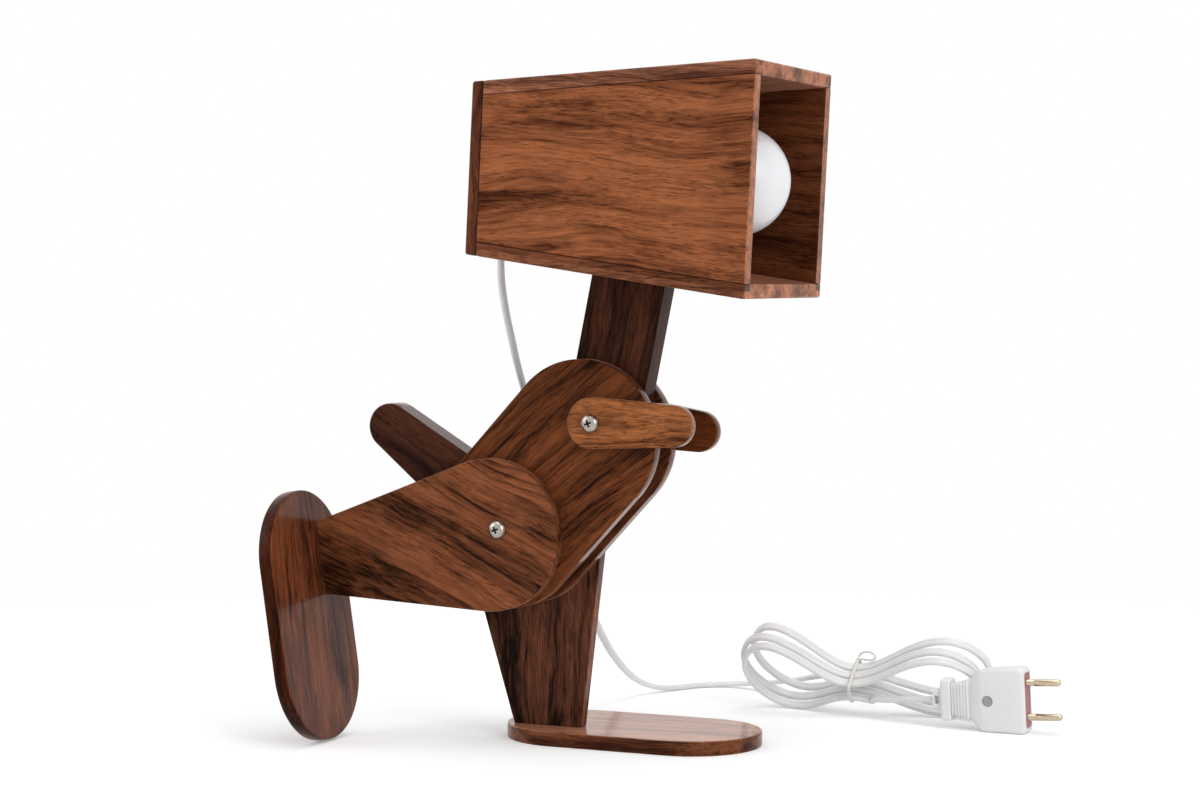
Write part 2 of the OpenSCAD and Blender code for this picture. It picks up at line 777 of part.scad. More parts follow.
module plug_pins() {
    front = plug_neck + plug_len;
    color(brass) at_plug() for (k = [-0.5, 0.5])
        translate([0, 0, k * pin_span]) rotate([0, 90, 0]) rotate_extrude()
            polygon([[0, front - 12 + seat], [pin_d / 2, front - 12 + seat],
                [pin_d / 2, front + pin_len - 1.6], [pin_d / 2 * 0.8, front + pin_len - 0.6],
                [pin_d / 2 * 0.4, front + pin_len - 0.1], [0, front + pin_len]]);
}

module plug_screw() {
    color(steel) at_plug() translate([plug_neck + 11, -plug_t / 2 + 1.5, 0]) difference() {
        rod_y(3.1 - seat, -0.9, 0 - seat);
        translate([0, -1.2, 0]) cube([7, 1.2, 0.7], center = true);
    }
}

base_foot();
standing_leg();
standing_leg_screws();
torso_plate_right();
torso_plate_left();
hip_bolt();
hip_nut();
shoulder_bolt();
shoulder_nut();
raised_leg();
raised_foot();
raised_leg_screws();
tail();
neck();
neck_screws();
head_bottom();
head_top();
head_side_right();
head_side_left();
head_back();
lamp_holder();
holder_screws();
holder_sleeve();
holder_contact();
bulb_cap();
bulb_body();
bulb_dome();
lead_bush();
inner_lead();
right_arm();
left_arm();
cord_run();
cord_hank();
cord_end();
cord_tie();
plug_body();
plug_grip();
plug_face();
plug_pins();
plug_screw();
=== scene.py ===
import math
import bpy
import bmesh
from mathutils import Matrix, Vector


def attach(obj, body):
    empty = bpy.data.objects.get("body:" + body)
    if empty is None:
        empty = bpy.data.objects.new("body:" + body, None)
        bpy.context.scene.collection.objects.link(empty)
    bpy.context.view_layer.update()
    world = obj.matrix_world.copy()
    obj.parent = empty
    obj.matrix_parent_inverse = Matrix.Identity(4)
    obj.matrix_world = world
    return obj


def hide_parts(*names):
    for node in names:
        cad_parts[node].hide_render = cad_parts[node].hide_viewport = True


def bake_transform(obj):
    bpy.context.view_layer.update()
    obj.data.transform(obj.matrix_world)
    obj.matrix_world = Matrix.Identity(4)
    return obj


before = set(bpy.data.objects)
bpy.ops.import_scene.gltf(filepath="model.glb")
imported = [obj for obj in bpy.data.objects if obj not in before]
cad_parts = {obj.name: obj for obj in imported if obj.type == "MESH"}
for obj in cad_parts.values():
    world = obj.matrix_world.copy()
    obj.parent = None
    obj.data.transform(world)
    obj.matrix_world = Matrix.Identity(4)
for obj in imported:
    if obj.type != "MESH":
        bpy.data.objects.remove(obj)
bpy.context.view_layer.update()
print("stage: frame loaded")

# camera, fitted to the edges of the boards
cameraValues = {
    "place": (0.5639, -1.2766, 0.2500),
    "turn": (87.39, 0.0, 24.0),
    "lens": 79.28,
}
cameraData = bpy.data.cameras.new("camera")
cameraData.sensor_width = 36.0
cameraData.lens = cameraValues["lens"]
cameraData.clip_end = 50.0
cameraObject = bpy.data.objects.new("camera", cameraData)
cameraObject.location = cameraValues["place"]
cameraObject.rotation_euler = [math.radians(a) for a in cameraValues["turn"]]
bpy.context.scene.collection.objects.link(cameraObject)
bpy.context.scene.camera = cameraObject

mm = 0.001  # millimetres to metres

# sizes shared with part.scad, in millimetres and degrees
lamp = {
    "plateT": 7.5, "middleT": 14.5, "footT": 8.0, "armT": 6.5, "layerGap": 0.1,
    "boltSpan": 78.6, "torsoLen": 65.3, "torsoR": 43.0, "torsoLean": 47.1,
    "legLen": 109.5, "hipR": 40.8, "hipSet": 6.5, "hipForward": 2.3, "ankleW": 40.0,
    "standingCut": 5.0, "raisedCut": 0.7, "raise": 81.6,
    "baseFootLen": 144.0, "raisedFootLen": 136.0, "footW": 77.5, "baseFootSet": 54.0, "footSide": 35.0,
    "tailLen": 90.0, "tailTipR": 12.6, "tailRootR": 20.0, "tailRise": 35.6,
    "armLen": 46.0, "armRootR": 13.6, "armTipR": 10.9, "rightDroop": 0.8, "leftDroop": 6.5,
    "neckLen": 79.0, "neckW": 42.0, "neckLean": 11.6,
    "headLen": 155.0, "headW": 114.5, "headBackH": 89.0, "headFrontH": 118.5, "headNod": 3.0,
    "neckSet": 71.8, "lidT": 7.6, "sideT": 8.4, "backT": 6.6,
    "boltD": 5.0, "boltPlay": 0.05, "boltHeadD": 10.0, "boltHeadH": 3.7, "nutAf": 8.0, "nutH": 5.0,
    "washerT": 1.0,
    "bulbD": 57.0, "bulbLen": 108.0, "bulbInset": 1.0, "capD": 26.0, "capLen": 25.0,
    "holderD": 40.0, "holderFootD": 52.0, "holderFootT": 9.0,
    "bushDrop": 17.0, "bushR": 4.2, "bushBend": 5.5, "bushFlangeT": 1.5, "bushFlangeR": 8.0,
    "bushTail": 20.0, "bushTailR": 3.5,
}


def deg(a):
    return math.radians(a)


plateY = lamp["middleT"] / 2 + lamp["layerGap"]
limbY = plateY + lamp["plateT"] + lamp["layerGap"]
hip = Vector((-lamp["baseFootSet"], 0, lamp["footT"] + lamp["legLen"]))
shoulder = hip + lamp["boltSpan"] * Vector((math.cos(deg(lamp["torsoLean"])), 0, math.sin(deg(lamp["torsoLean"]))))
headTaper = math.atan((lamp["headFrontH"] - lamp["headBackH"]) / 2 / lamp["headLen"])
nod = deg(lamp["headNod"])
neckTop = shoulder + lamp["neckLen"] * Vector((math.sin(deg(lamp["neckLean"])), 0, math.cos(deg(lamp["neckLean"]))))
neckSpot = (lamp["neckSet"] * math.cos(headTaper), -lamp["headBackH"] / 2 - lamp["neckSet"] * math.sin(headTaper))
headOrigin = neckTop - Vector((neckSpot[0] * math.cos(nod) + neckSpot[1] * math.sin(nod), 0,
                               neckSpot[1] * math.cos(nod) - neckSpot[0] * math.sin(nod)))
footPitch = deg(90 - lamp["raise"])
raisedFootSet = ((hip.z - 0.05 - (lamp["legLen"] + lamp["footT"]) * math.sin(footPitch)) / math.cos(footPitch)
                 - lamp["raisedFootLen"] / 2)


def headPlace(x, y, z):  # from the head's own frame, in millimetres
    return Vector((headOrigin.x + x * math.cos(nod) + z * math.sin(nod), y,
                   headOrigin.z + z * math.cos(nod) - x * math.sin(nod)))


def halfH(x, inset=0.0):
    return lamp["headBackH"] / 2 + x * math.tan(headTaper) - inset


# small helpers that add a node and set or link its inputs
def setInputs(node, values):
    for key, value in values.items():
        if isinstance(value, bpy.types.NodeSocket):
            node.id_data.links.new(value, node.inputs[key])
        else:
            node.inputs[key].default_value = value
    return node


def addNode(tree, kind, inputs=None, **props):
    node = tree.nodes.new(kind)
    for key, value in props.items():
        setattr(node, key, value)
    return setInputs(node, inputs or {})


def mathNode(tree, operation, *values):
    return addNode(tree, "ShaderNodeMath", dict(enumerate(values)), operation=operation).outputs[0]


def times(tree, first, second):
    return mathNode(tree, "MULTIPLY", first, second)


def plus(tree, first, second):
    return mathNode(tree, "ADD", first, second)


def rangeNode(tree, value, low, high, outLow=0.0, outHigh=1.0):
    return addNode(tree, "ShaderNodeMapRange", {0: value, 1: low, 2: high, 3: outLow, 4: outHigh}).outputs[0]


def mixColor(tree, factor, first, second, mode="MIX"):
    node = addNode(tree, "ShaderNodeMix", data_type="RGBA", blend_type=mode)
    return setInputs(node, {0: factor, 6: first, 7: second}).outputs[2]


def tinted(tree, mask, color, gain):
    return mixColor(tree, mask, color, mixColor(tree, 1.0, color, gain, "MULTIPLY"))


def noiseNode(tree, vector, scale, detail=3.0, rough=0.5, distort=0.0):
    return addNode(tree, "ShaderNodeTexNoise", {"Vector": vector, "Scale": scale, "Detail": detail,
                                                "Roughness": rough, "Distortion": distort}).outputs["Fac"]


def vectorNode(tree, operation, *values):
    outputs = addNode(tree, "ShaderNodeVectorMath", dict(enumerate(values)), operation=operation).outputs
    return outputs["Value" if operation in ("DOT_PRODUCT", "LENGTH") else "Vector"]


def newMaterial(name):
    material = bpy.data.materials.new(name)
    material.use_nodes = True
    tree = material.node_tree
    shader = next(n for n in tree.nodes if n.type == "BSDF_PRINCIPLED")
    return material, tree, shader


def objectCoords(tree, location=(0, 0, 0), turn=(0, 0, 0)):
    coords = addNode(tree, "ShaderNodeTexCoord").outputs["Object"]
    return addNode(tree, "ShaderNodeMapping", {"Vector": coords, "Location": location,
                                               "Rotation": [deg(a) for a in turn]}).outputs[0]


def newGroup(name, inputs, outputs):
    group = bpy.data.node_groups.new(name, "ShaderNodeTree")
    for label, kind, value in inputs:
        socket = group.interface.new_socket(label, in_out="INPUT", socket_type=kind)
        if value is not None:
            socket.default_value = value
    for label, kind in outputs:
        group.interface.new_socket(label, in_out="OUTPUT", socket_type=kind)
    return group, group.nodes.new("NodeGroupInput").outputs, group.nodes.new("NodeGroupOutput")


# walnut grain: it runs along x of the vector, and fine growth lines wind about a heart off the board; a layer has:
# bent with the wander or not, scale along and across the grain, detail, roughness, distortion, then the range that
# darkens and how much
grainValues = {
    "wander": 0.022, "lean": 0.06, "uneven": 3.0, "rough": (0.32, 0.44), "poreShare": 0.70,
    "poreGain": (0.16, 0.13, 0.12),
    "layers": {
        "broad": (True, 3.4, 62.0, 3.0, 0.6, 0.0, 0.42, 0.62, 0.56),
        "streak": (True, 12.0, 330.0, 4.0, 0.66, 0.0, 0.42, 0.70, 0.36),
        "cloud": (False, 16.0, 26.0, 3.0, 0.6, 0.6, 0.46, 0.76, 0.30),
        "knots": (False, 7.0, 17.0, 1.0, 0.5, 0.0, 0.69, 0.80, 0.40),
        "fine": (True, 60.0, 1000.0, 3.0, 0.62, 0.0, 0.42, 0.66, 0.34),
    },
}


def makeGrainGroup():
    group, given, result = newGroup("walnutGrain", [
        ("Vector", "NodeSocketVector", None), ("Light", "NodeSocketColor", (0.4, 0.2, 0.1, 1)),
        ("Dark", "NodeSocketColor", (0.1, 0.05, 0.03, 1)), ("Lines", "NodeSocketFloat", 240.0),
        ("Contrast", "NodeSocketFloat", 1.0), ("Figure", "NodeSocketFloat", 0.5), ("Wave", "NodeSocketFloat", 1.0)],
        [("Color", "NodeSocketColor"), ("Roughness", "NodeSocketFloat"), ("Height", "NodeSocketFloat")])
    vector = given["Vector"]

    def along(source, x, across, detail, rough=0.5, distort=0.0):
        stretched = vectorNode(group, "MULTIPLY", source, (x, across, across))
        return noiseNode(group, stretched, 1.0, detail, rough, distort)

    slow = vectorNode(group, "MULTIPLY", vector, (9.0, 22.0, 22.0))
    warp = addNode(group, "ShaderNodeTexNoise", {"Vector": slow, "Scale": 1.0, "Detail": 2.0}).outputs["Color"]
    shift = vectorNode(group, "SUBTRACT", warp, (0.5, 0.5, 0.5))
    amount = times(group, given["Wave"], grainValues["wander"])
    reach = addNode(group, "ShaderNodeCombineXYZ", {1: amount, 2: amount}).outputs[0]
    warped = vectorNode(group, "ADD", vector, vectorNode(group, "MULTIPLY", shift, reach))
    parts = addNode(group, "ShaderNodeSeparateXYZ", {0: warped}).outputs
    leanZ = plus(group, parts[2], times(group, parts[0], grainValues["lean"]))
    ring = mathNode(group, "SQRT", plus(group, times(group, parts[1], parts[1]), times(group, leanZ, leanZ)))
    uneven = times(group, along(warped, 2.0, 60.0, 2.0), grainValues["uneven"])
    saw = mathNode(group, "FRACT", plus(group, times(group, ring, given["Lines"]), uneven))
    rise = mathNode(group, "POWER", rangeNode(group, saw, 0.2, 0.9), 2.0)
    lines = times(group, rise, rangeNode(group, saw, 0.9, 1.0, 1.0, 0.0))
    lines = times(group, lines, rangeNode(group, along(vector, 7.0, 110.0, 2.0), 0.36, 0.62))
    darkness = times(group, lines, given["Figure"])
    layer = {}
    for name, (bent, x, across, detail, rough, distort, low, high, share) in grainValues["layers"].items():
        layer[name] = along(warped if bent else vector, x, across, detail, rough, distort)
        darkness = plus(group, darkness, times(group, rangeNode(group, layer[name], low, high), share))
    darkness = mathNode(group, "MINIMUM", times(group, darkness, given["Contrast"]), 1.0)
    body = mixColor(group, darkness, given["Light"], given["Dark"])
    poreMask = times(group, rangeNode(group, along(vector, 190.0, 1900.0, 2.0), 0.54, 0.66),
                       rangeNode(group, along(vector, 12.0, 120.0, 2.0), 0.36, 0.58))
    body = tinted(group, times(group, poreMask, grainValues["poreShare"]), body, (*grainValues["poreGain"], 1))
    rough = plus(group, rangeNode(group, layer["streak"], 0.3, 0.7, *grainValues["rough"]),
                 times(group, poreMask, 0.2))
    height = mathNode(group, "SUBTRACT", times(group, layer["fine"], 0.3), poreMask)
    setInputs(result, {"Color": body, "Roughness": rough, "Height": height})
    return group


# faint dust and handling marks that make a plain finish uneven
def makeWearGroup():
    group, given, result = newGroup("wear", [
        ("Vector", "NodeSocketVector", None), ("Base", "NodeSocketColor", (0.8, 0.8, 0.8, 1)),
        ("Tint", "NodeSocketColor", (0.6, 0.58, 0.54, 1)), ("Amount", "NodeSocketFloat", 0.1),
        ("Rough", "NodeSocketFloat", 0.4), ("Scale", "NodeSocketFloat", 120.0)],
        [("Color", "NodeSocketColor"), ("Roughness", "NodeSocketFloat"), ("Height", "NodeSocketFloat")])
    cloud = noiseNode(group, given["Vector"], given["Scale"], 4.0, 0.6)
    grit = noiseNode(group, given["Vector"], times(group, given["Scale"], 18.0), 2.0, 0.5)
    mask = times(group, rangeNode(group, cloud, 0.42, 0.72), given["Amount"])
    color = mixColor(group, mask, given["Base"], given["Tint"])
    rough = plus(group, given["Rough"], rangeNode(group, cloud, 0.3, 0.7, -0.05, 0.07))
    setInputs(result, {"Color": color, "Roughness": rough, "Height": grit})
    return group


# tells the faces that look along a direction, or the others where low is above high
def makeWayGroup():
    group, given, result = newGroup("facingWay", [
        ("Direction", "NodeSocketVector", (0, 0, 1)), ("Low", "NodeSocketFloat", 0.6),
        ("High", "NodeSocketFloat", 0.9)],
        [("Mask", "NodeSocketFloat")])
    normal = addNode(group, "ShaderNodeTexCoord").outputs["Normal"]
    along = mathNode(group, "ABSOLUTE", vectorNode(group, "DOT_PRODUCT", normal, given["Direction"]))
    setInputs(result, {"Mask": rangeNode(group, along, given["Low"], given["High"])})
    return group


grainGroup = makeGrainGroup()
wearGroup = makeWearGroup()
wayGroup = makeWayGroup()


def useGroup(tree, group, inputs):
    node = tree.nodes.new("ShaderNodeGroup")
    node.node_tree = group
    return setInputs(node, inputs).outputs


def bumpInto(tree, shader, height, strength, distance):
    bump = addNode(tree, "ShaderNodeBump", {"Height": height, "Strength": strength, "Distance": distance})
    tree.links.new(bump.outputs[0], shader.inputs["Normal"])


def plainMaterial(name, values, layName=None):  # with layName the attribute of that name is the texture's place
    material, tree, shader = newMaterial(name)
    lay = addNode(tree, "ShaderNodeAttribute", attribute_name=layName).outputs["Vector"] if layName else None
    out = useGroup(tree, wearGroup, {"Vector": lay or objectCoords(tree), "Base": (*values["color"], 1),
                                     "Tint": (*values["tint"], 1), "Amount": values["amount"],
                                     "Rough": values["rough"], "Scale": values["scale"]})
    color = out["Color"]
    if layName:
        # the colour is darkened along the lead's groove: painted shade in the crease between its cores
        cross = addNode(tree, "ShaderNodeSeparateXYZ", {0: lay}).outputs[1]
        groove = rangeNode(tree, mathNode(tree, "ABSOLUTE", cross), 0.0, values["grooveHalf"], 1.0, 0.0)
        color = mixColor(tree, times(tree, groove, values["grooveShadeShare"]), color,
                         (*values["grooveShadeColor"], 1))
    setInputs(shader, {"Base Color": color, "Roughness": out["Roughness"], "Metallic": values.get("metallic", 0.0),
                       "Coat Weight": values.get("coat", 0.0), "Coat Roughness": 0.1,
                       "Subsurface Weight": values.get("subsurface", 0.0),
                       "Subsurface Radius": (0.002, 0.002, 0.0018)})
    bumpInto(tree, shader, out["Height"], values.get("bump", 0.08), 0.0002)
    return material


# light and dark are the two ends of the wood's colour; the lacquer shows most where the face is seen aslant
def woodMaterial(name, values):
    material, tree, shader = newMaterial(name)
    vector = objectCoords(tree, values["heart"], (0, values["turn"], 0))
    out = useGroup(tree, grainGroup, {"Vector": vector, "Light": (*values["light"], 1), "Dark": (*values["dark"], 1),
                                      "Lines": values.get("lines", 230.0), "Contrast": values.get("contrast", 1.0),
                                      "Figure": values.get("figure", 0.4), "Wave": values.get("wave", 1.0)})
    color = out["Color"]
    facing = addNode(tree, "ShaderNodeLayerWeight", {"Blend": 0.5}).outputs["Facing"]
    coat = rangeNode(tree, facing, woodFinish["coatFrom"], woodFinish["coatFull"], woodFinish["coatFront"],
                     woodFinish["coatAslant"])
    coat = times(tree, coat, values.get("coat", 1.0))
    # these gains paint light and shade: painted highlights on the head's front ends and the standing leg's edges,
    # painted shade inside the head and on the neck's edges; the feet's rims are only made darker
    for way, which, gain, lacquer in values.get("rims", ()):  # faces looking along a way get a colour gain and their lacquer scaled
        low, high = rimRanges[which]
        mask = useGroup(tree, wayGroup, {"Direction": ways[way], "Low": low, "High": high})["Mask"]
        color = tinted(tree, mask, color, (*gain, 1))
        coat = times(tree, coat, rangeNode(tree, mask, 0.0, 1.0, 1.0, lacquer))
    # strips show where a side of the head stands on this board; the last rim is the front, so its mask tells their ends
    for way, farSide, which in values.get("strips", ()):
        strip = stripKinds[which]
        across = addNode(tree, "ShaderNodeSeparateXYZ", {0: objectCoords(tree)}).outputs[1]
        edge = rangeNode(tree, mathNode(tree, "ABSOLUTE", across), sideFrom, sideFrom + stripSoft)
        level = vectorNode(tree, "DOT_PRODUCT", objectCoords(tree), ways[way])
        start = headPlace(*farSide).dot(Vector(ways[way])) * mm - strip["wide"]
        inside = times(tree, edge, rangeNode(tree, level, start, start + stripSoft))
        color = tinted(tree, inside, color, mixColor(tree, mask, (*strip["sideGain"], 1), (*strip["endGain"], 1)))
    sheen = times(tree, rangeNode(tree, facing, 0.4, 0.9), woodFinish["sheen"])
    setInputs(shader, {"Base Color": color, "Roughness": out["Roughness"], "Coat Weight": coat,
                       "Coat Roughness": woodFinish["coatRough"], "Specular IOR Level": woodFinish["specular"],
                       "Sheen Weight": sheen, "Sheen Roughness": woodFinish["sheenRough"],
                       "Sheen Tint": (*woodFinish["sheenTint"], 1)})
    bumpInto(tree, shader, out["Height"], woodFinish["bump"], woodFinish["bumpDeep"])
    return material


ways = {"front": (math.cos(nod), 0, -math.sin(nod)), "side": (0, 1, 0), "sole": (0, 0, 1),
        "raisedSole": (math.cos(footPitch), 0, math.sin(footPitch)),
        "bottomUp": (math.sin(nod + headTaper), 0, math.cos(nod + headTaper)),
        "topDown": (-math.sin(nod - headTaper), 0, -math.cos(nod - headTaper))}
rimRanges = {"ends": (0.6, 0.9), "edges": (0.8, 0.4), "faces": (0.9, 0.98)}  # low and high of facingWay
stripKinds = {
    # this strip darkens a band where a side stands on the bottom board, and the corners of its front end; joint is a
    # thin dark joint line
    "inlay": {"wide": 0.0038, "sideGain": (0.60, 0.54, 0.50), "endGain": (0.22, 0.27, 0.34)},
    "joint": {"wide": 0.0007, "sideGain": (0.30, 0.24, 0.24), "endGain": (1, 1, 1)},
}
sideFrom, stripSoft = 0.0488, 0.0003  # the sides' inner faces, and the softness of a strip's edge, in metres
lidInside = halfH(0, lamp["lidT"] / math.cos(headTaper))
woodFinish = {"coatFrom": 0.15, "coatFull": 0.90, "coatFront": 0.02, "coatAslant": 0.85, "coatRough": 0.12,
              "specular": 0.03, "sheen": 0.35, "sheenRough": 0.35, "sheenTint": (1.0, 0.50, 0.34), "bump": 0.15,
              "bumpDeep": 0.00025}


def faceOutward(work):  # every closed shell gets its normals outward, also where Blender's own guess fails
    bmesh.ops.recalc_face_normals(work, faces=work.faces)
    left = set(work.faces)
    while left:
        shell, edge = set(), [left.pop()]
        shell.add(edge[0])
        while edge:
            for link in edge.pop().edges:
                for face in link.link_faces:
                    if face in left:
                        left.discard(face)
                        shell.add(face)
                        edge.append(face)
        volume = 0.0
        for face in shell:
            corners = [v.co for v in face.verts]
            for i in range(1, len(corners) - 1):
                volume += corners[0].dot(corners[i].cross(corners[i + 1]))
        if volume < 0:
            bmesh.ops.reverse_faces(work, faces=list(shell))


def addObject(name, mesh):
    piece = bpy.data.objects.new(name, mesh)
    bpy.context.scene.collection.objects.link(piece)
    return piece


def meshFrom(name, work, material=None):
    mesh = bpy.data.meshes.new(name)
    work.to_mesh(mesh)
    work.free()
    if material:
        mesh.materials.append(material)
    return mesh


def finishMesh(name, work, material, body, nodes, smoothAngle=None):
    mesh = meshFrom(name, work, material)
    piece = addObject(name, mesh)
    if smoothAngle is not None:
        mesh.shade_smooth()
        mesh.set_sharp_from_angle(angle=deg(smoothAngle))
    if nodes:
        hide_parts(*nodes)
    if body:
        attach(piece, body)
    return piece


def bakeModifiers(piece):
    graph = bpy.context.evaluated_depsgraph_get()
    graph.update()
    mesh = bpy.data.meshes.new_from_object(piece.evaluated_get(graph))
    piece.modifiers.clear()
    old = piece.data
    piece.data = mesh
    mesh.name = old.name
    bpy.data.meshes.remove(old)


def arcPoints(centre, radius, start, stop, steps):
    return [(centre[0] + radius * math.cos(deg(start + (stop - start) * i / steps)),
             centre[1] + radius * math.sin(deg(start + (stop - start) * i / steps))) for i in range(steps + 1)]


# how far the boards' edges are rounded, in millimetres, by what they belong to; seam is where two boards meet
bevelValues = {"plate": 0.6, "foot": 0.9, "tail": 0.9, "arm": 0.8, "headFrame": 1.3, "headSide": 1.1, "seam": 0.25,
               "fromAngle": 30, "segments": 3, "smoothBelow": 3e-4}


# a board from a flat outline in millimetres; place turns (across, up, through) into the lamp's frame;
# seam(first, second) is true for an edge that meets another board and stays nearly sharp
def boardMesh(outline, through0, through1, place, bevel, seam=None):
    work = bmesh.new()
    low = [work.verts.new(Vector((a, b, through0))) for a, b in outline]
    high = [work.verts.new(Vector((a, b, through1))) for a, b in outline]
    work.faces.new(low)
    work.faces.new(high)
    count = len(outline)
    for i in range(count):
        j = (i + 1) % count
        work.faces.new((low[i], low[j], high[j], high[i]))
    faceOutward(work)
    weight = work.edges.layers.float.new("bevel_weight_edge")
    for edge in work.edges:
        if edge.calc_face_angle(0) > deg(bevelValues["fromAngle"]):
            meets = seam and seam(edge.verts[0].co, edge.verts[1].co)
            edge[weight] = bevelValues["seam"] / bevel if meets else 1.0
    for vert in work.verts:
        vert.co = place(*vert.co) * mm
    faceOutward(work)
    piece = addObject("board", meshFrom("board", work))
    modifier = piece.modifiers.new("bevel", "BEVEL")
    modifier.limit_method = "WEIGHT"
    modifier.width = bevel * mm
    modifier.segments = bevelValues["segments"]
    bakeModifiers(piece)
    mesh = piece.data
    bpy.data.objects.remove(piece)
    for face in mesh.polygons:
        face.use_smooth = len(face.vertices) == 4 and face.area < bevelValues["smoothBelow"]
    return mesh


def circle(steps):
    return [(math.cos(2 * math.pi * k / steps), math.sin(2 * math.pi * k / steps)) for k in range(steps)]


def skinRings(work, rings, caps=True):
    for first, second in zip(rings, rings[1:]):
        for k in range(len(first)):
            j = (k + 1) % len(first)
            work.faces.new((first[k], first[j], second[j], second[k]))
    if caps:
        work.faces.new(rings[0])
        work.faces.new(rings[-1])
    faceOutward(work)


def lathe(profile, steps=64):  # profile is (along x, radius) from one pole to the other
    work = bmesh.new()
    rings = []
    for along, radius in profile:
        if radius < 1e-6:
            rings.append([work.verts.new((along, 0, 0))])
        else:
            rings.append([work.verts.new((along, radius * c, radius * s)) for c, s in circle(steps)])
    for first, second in zip(rings, rings[1:]):
        for k in range(steps):
            j = (k + 1) % steps
            if len(first) == 1 and len(second) == 1:
                continue
            if len(first) == 1:
                work.faces.new((first[0], second[j], second[k]))
            elif len(second) == 1:
                work.faces.new((first[k], first[j], second[0]))
            else:
                work.faces.new((first[k], first[j], second[j], second[k]))
    faceOutward(work)
    return work


def moveWork(work, place):
    for vert in work.verts:
        vert.co = place(vert.co) * mm
    faceOutward(work)
    return work


def cutWith(piece, cutterMesh):  # a cutter with a material leaves it on the faces it makes
    cutter = addObject("cutter", cutterMesh)
    modifier = piece.modifiers.new("cut", "BOOLEAN")
    modifier.operation = "DIFFERENCE"
    modifier.solver = "EXACT"
    modifier.object = cutter
    if cutterMesh.materials:
        modifier.material_mode = "TRANSFER"
    bakeModifiers(piece)
    bpy.data.objects.remove(cutter)


# lead: a flat twin, from the bush down to the floor, through the hank's loops and on to the plug
leadValues = {"width": 5.4, "thick": 2.9, "groove": 0.30, "grooveWide": 0.55, "flatness": 0.85, "ringStep": 2.0,
              "sides": 24, "splineStep": 0.8, "smoothing": 14}
# the groove colour and share paint shade along the lead's groove
leadFinish = {"color": (0.84, 0.835, 0.835), "tint": (0.66, 0.63, 0.61), "amount": 0.18, "rough": 0.38, "scale": 90.0,
              "subsurface": 0.08, "bump": 0.05, "grooveShadeColor": (0.45, 0.44, 0.42), "grooveHalf": 0.0006,
              "grooveShadeShare": 0.35}
hankValues = {
    "at": (84.0, 169.0, 26.0), "lean": 129.0, "waist": 3.6, "front": 77.0, "rear": 67.0,
    "frontLobe": 21.0, "rearLobe": 23.5, "frontLift": (5.0, 3.0, 2.0), "rearLift": (12.0, 10.0, 9.0), "step": 6.2,
    "rearReach": (0.93, 1.0, 0.96), "frontReach": (1.0, 0.955, 0.985), "loops": 3, "start": -0.02,
    "reachBend": 0.225, "lobeRise": 3.11, "lobeFall": 1.2, "layerFrom": 0.34, "layerLong": 0.32,
}
plugValues = {
    "pitch": 3.0, "neck": 21.7, "bevel": 7.5, "height": 37.0, "thick": 16.0, "length": 32.0,
    "pinSpan": 19.0, "pinD": 4.0, "pinLen": 19.0, "x": 137.0, "y": 142.0, "screwSunk": 1.5, "screwSet": 11.0,
    "ribs": 6, "ribStep": 1.75, "ribFrom": 11.9,
}
runPoints = [
    (-62.8, 1, 248), (-62.3, 4.5, 234), (-61.5, 10, 219), (-61, 16, 205), (-60.5, 24, 190), (-60, 33, 174),
    (-60, 43, 157), (-60, 54, 140), (-60, 66, 122), (-60, 79, 104), (-61, 93, 86), (-61, 107, 69),
    (-62, 121, 53), (-62, 136, 38), (-61, 151, 25), (-59, 165.5, 14.5), (-56, 179.5, 7.2), (-51, 192.5, 3),
    (-44, 206, 1.6), (-37, 218, 1.6), (-26, 226.5, 1.8), (-13, 228, 2.7), (0, 223, 4.6), (14, 214, 7.2),
    (28, 203.5, 10.4), (41, 194, 14), (53, 185.5, 17.4), (63, 178.5, 20.2),
]
endPoints = [(97, 153.5, 11.5), (108, 150.3, 12.2), (119, 147.2, 13.3), (129, 144.3, 14.6)]

plugRearH = plugValues["height"] - 2 * (plugValues["length"] - plugValues["bevel"]) * math.tan(deg(plugValues["pitch"]))
plugAt = Vector((plugValues["x"], plugValues["y"], plugRearH / 2 * math.cos(deg(plugValues["pitch"]))
                 - (plugValues["neck"] + plugValues["bevel"]) * math.sin(deg(plugValues["pitch"])) + 0.05))
bushEnd = headPlace(-lamp["bushFlangeT"] - lamp["bushBend"], 0, -lamp["bushDrop"] - lamp["bushBend"] - lamp["bushTail"])
hankNormal = Vector((0, -math.sin(deg(hankValues["lean"])), math.cos(deg(hankValues["lean"]))))


def smoothStep(k):
    k = max(0.0, min(1.0, k))
    return k * k * (3 - 2 * k)


def loopValue(key, turn):  # goes softly from one loop's value to the next, while the lead crosses the waist
    values = hankValues[key]
    whole = max(0, min(len(values) - 1, math.floor(turn)))
    after = min(whole + 1, len(values) - 1)
    return values[whole] + (values[after] - values[whole]) * smoothStep((turn - whole - 0.5) / 0.5) * (key[0] == "f") \
        + (values[whole] - values[max(whole - 1, 0)]) * (smoothStep((turn - whole) / 0.5) - 1) * (key[0] == "r")


def hankSpot(x, v, n, rise=0.0):  # along the hank, across it, and through its layers
    lean = deg(hankValues["lean"])
    return Vector(hankValues["at"]) + Vector((x, v * math.cos(lean) - n * math.sin(lean),
                                              v * math.sin(lean) + n * math.cos(lean) + rise))


def hankPoint(turn):
    h = hankValues
    q, c = math.sin(2 * math.pi * turn), math.cos(2 * math.pi * turn)
    reach = q * (1 - h["reachBend"] * c * c)
    lobe = h["rearLobe"] if q < 0 else h["frontLobe"]
    v = -c * (h["waist"] + lobe * (h["lobeRise"] * q * q - h["lobeFall"] * q ** 4))
    whole = math.floor(turn)
    n = h["step"] * (whole + smoothStep((turn - whole - h["layerFrom"]) / h["layerLong"]))
    rise = loopValue("rearLift" if reach < 0 else "frontLift", turn) * smoothStep(abs(reach))
    reach *= loopValue("rearReach" if reach < 0 else "frontReach", turn)
    return hankSpot((h["rear"] if reach < 0 else h["front"]) * reach, v, n, rise)


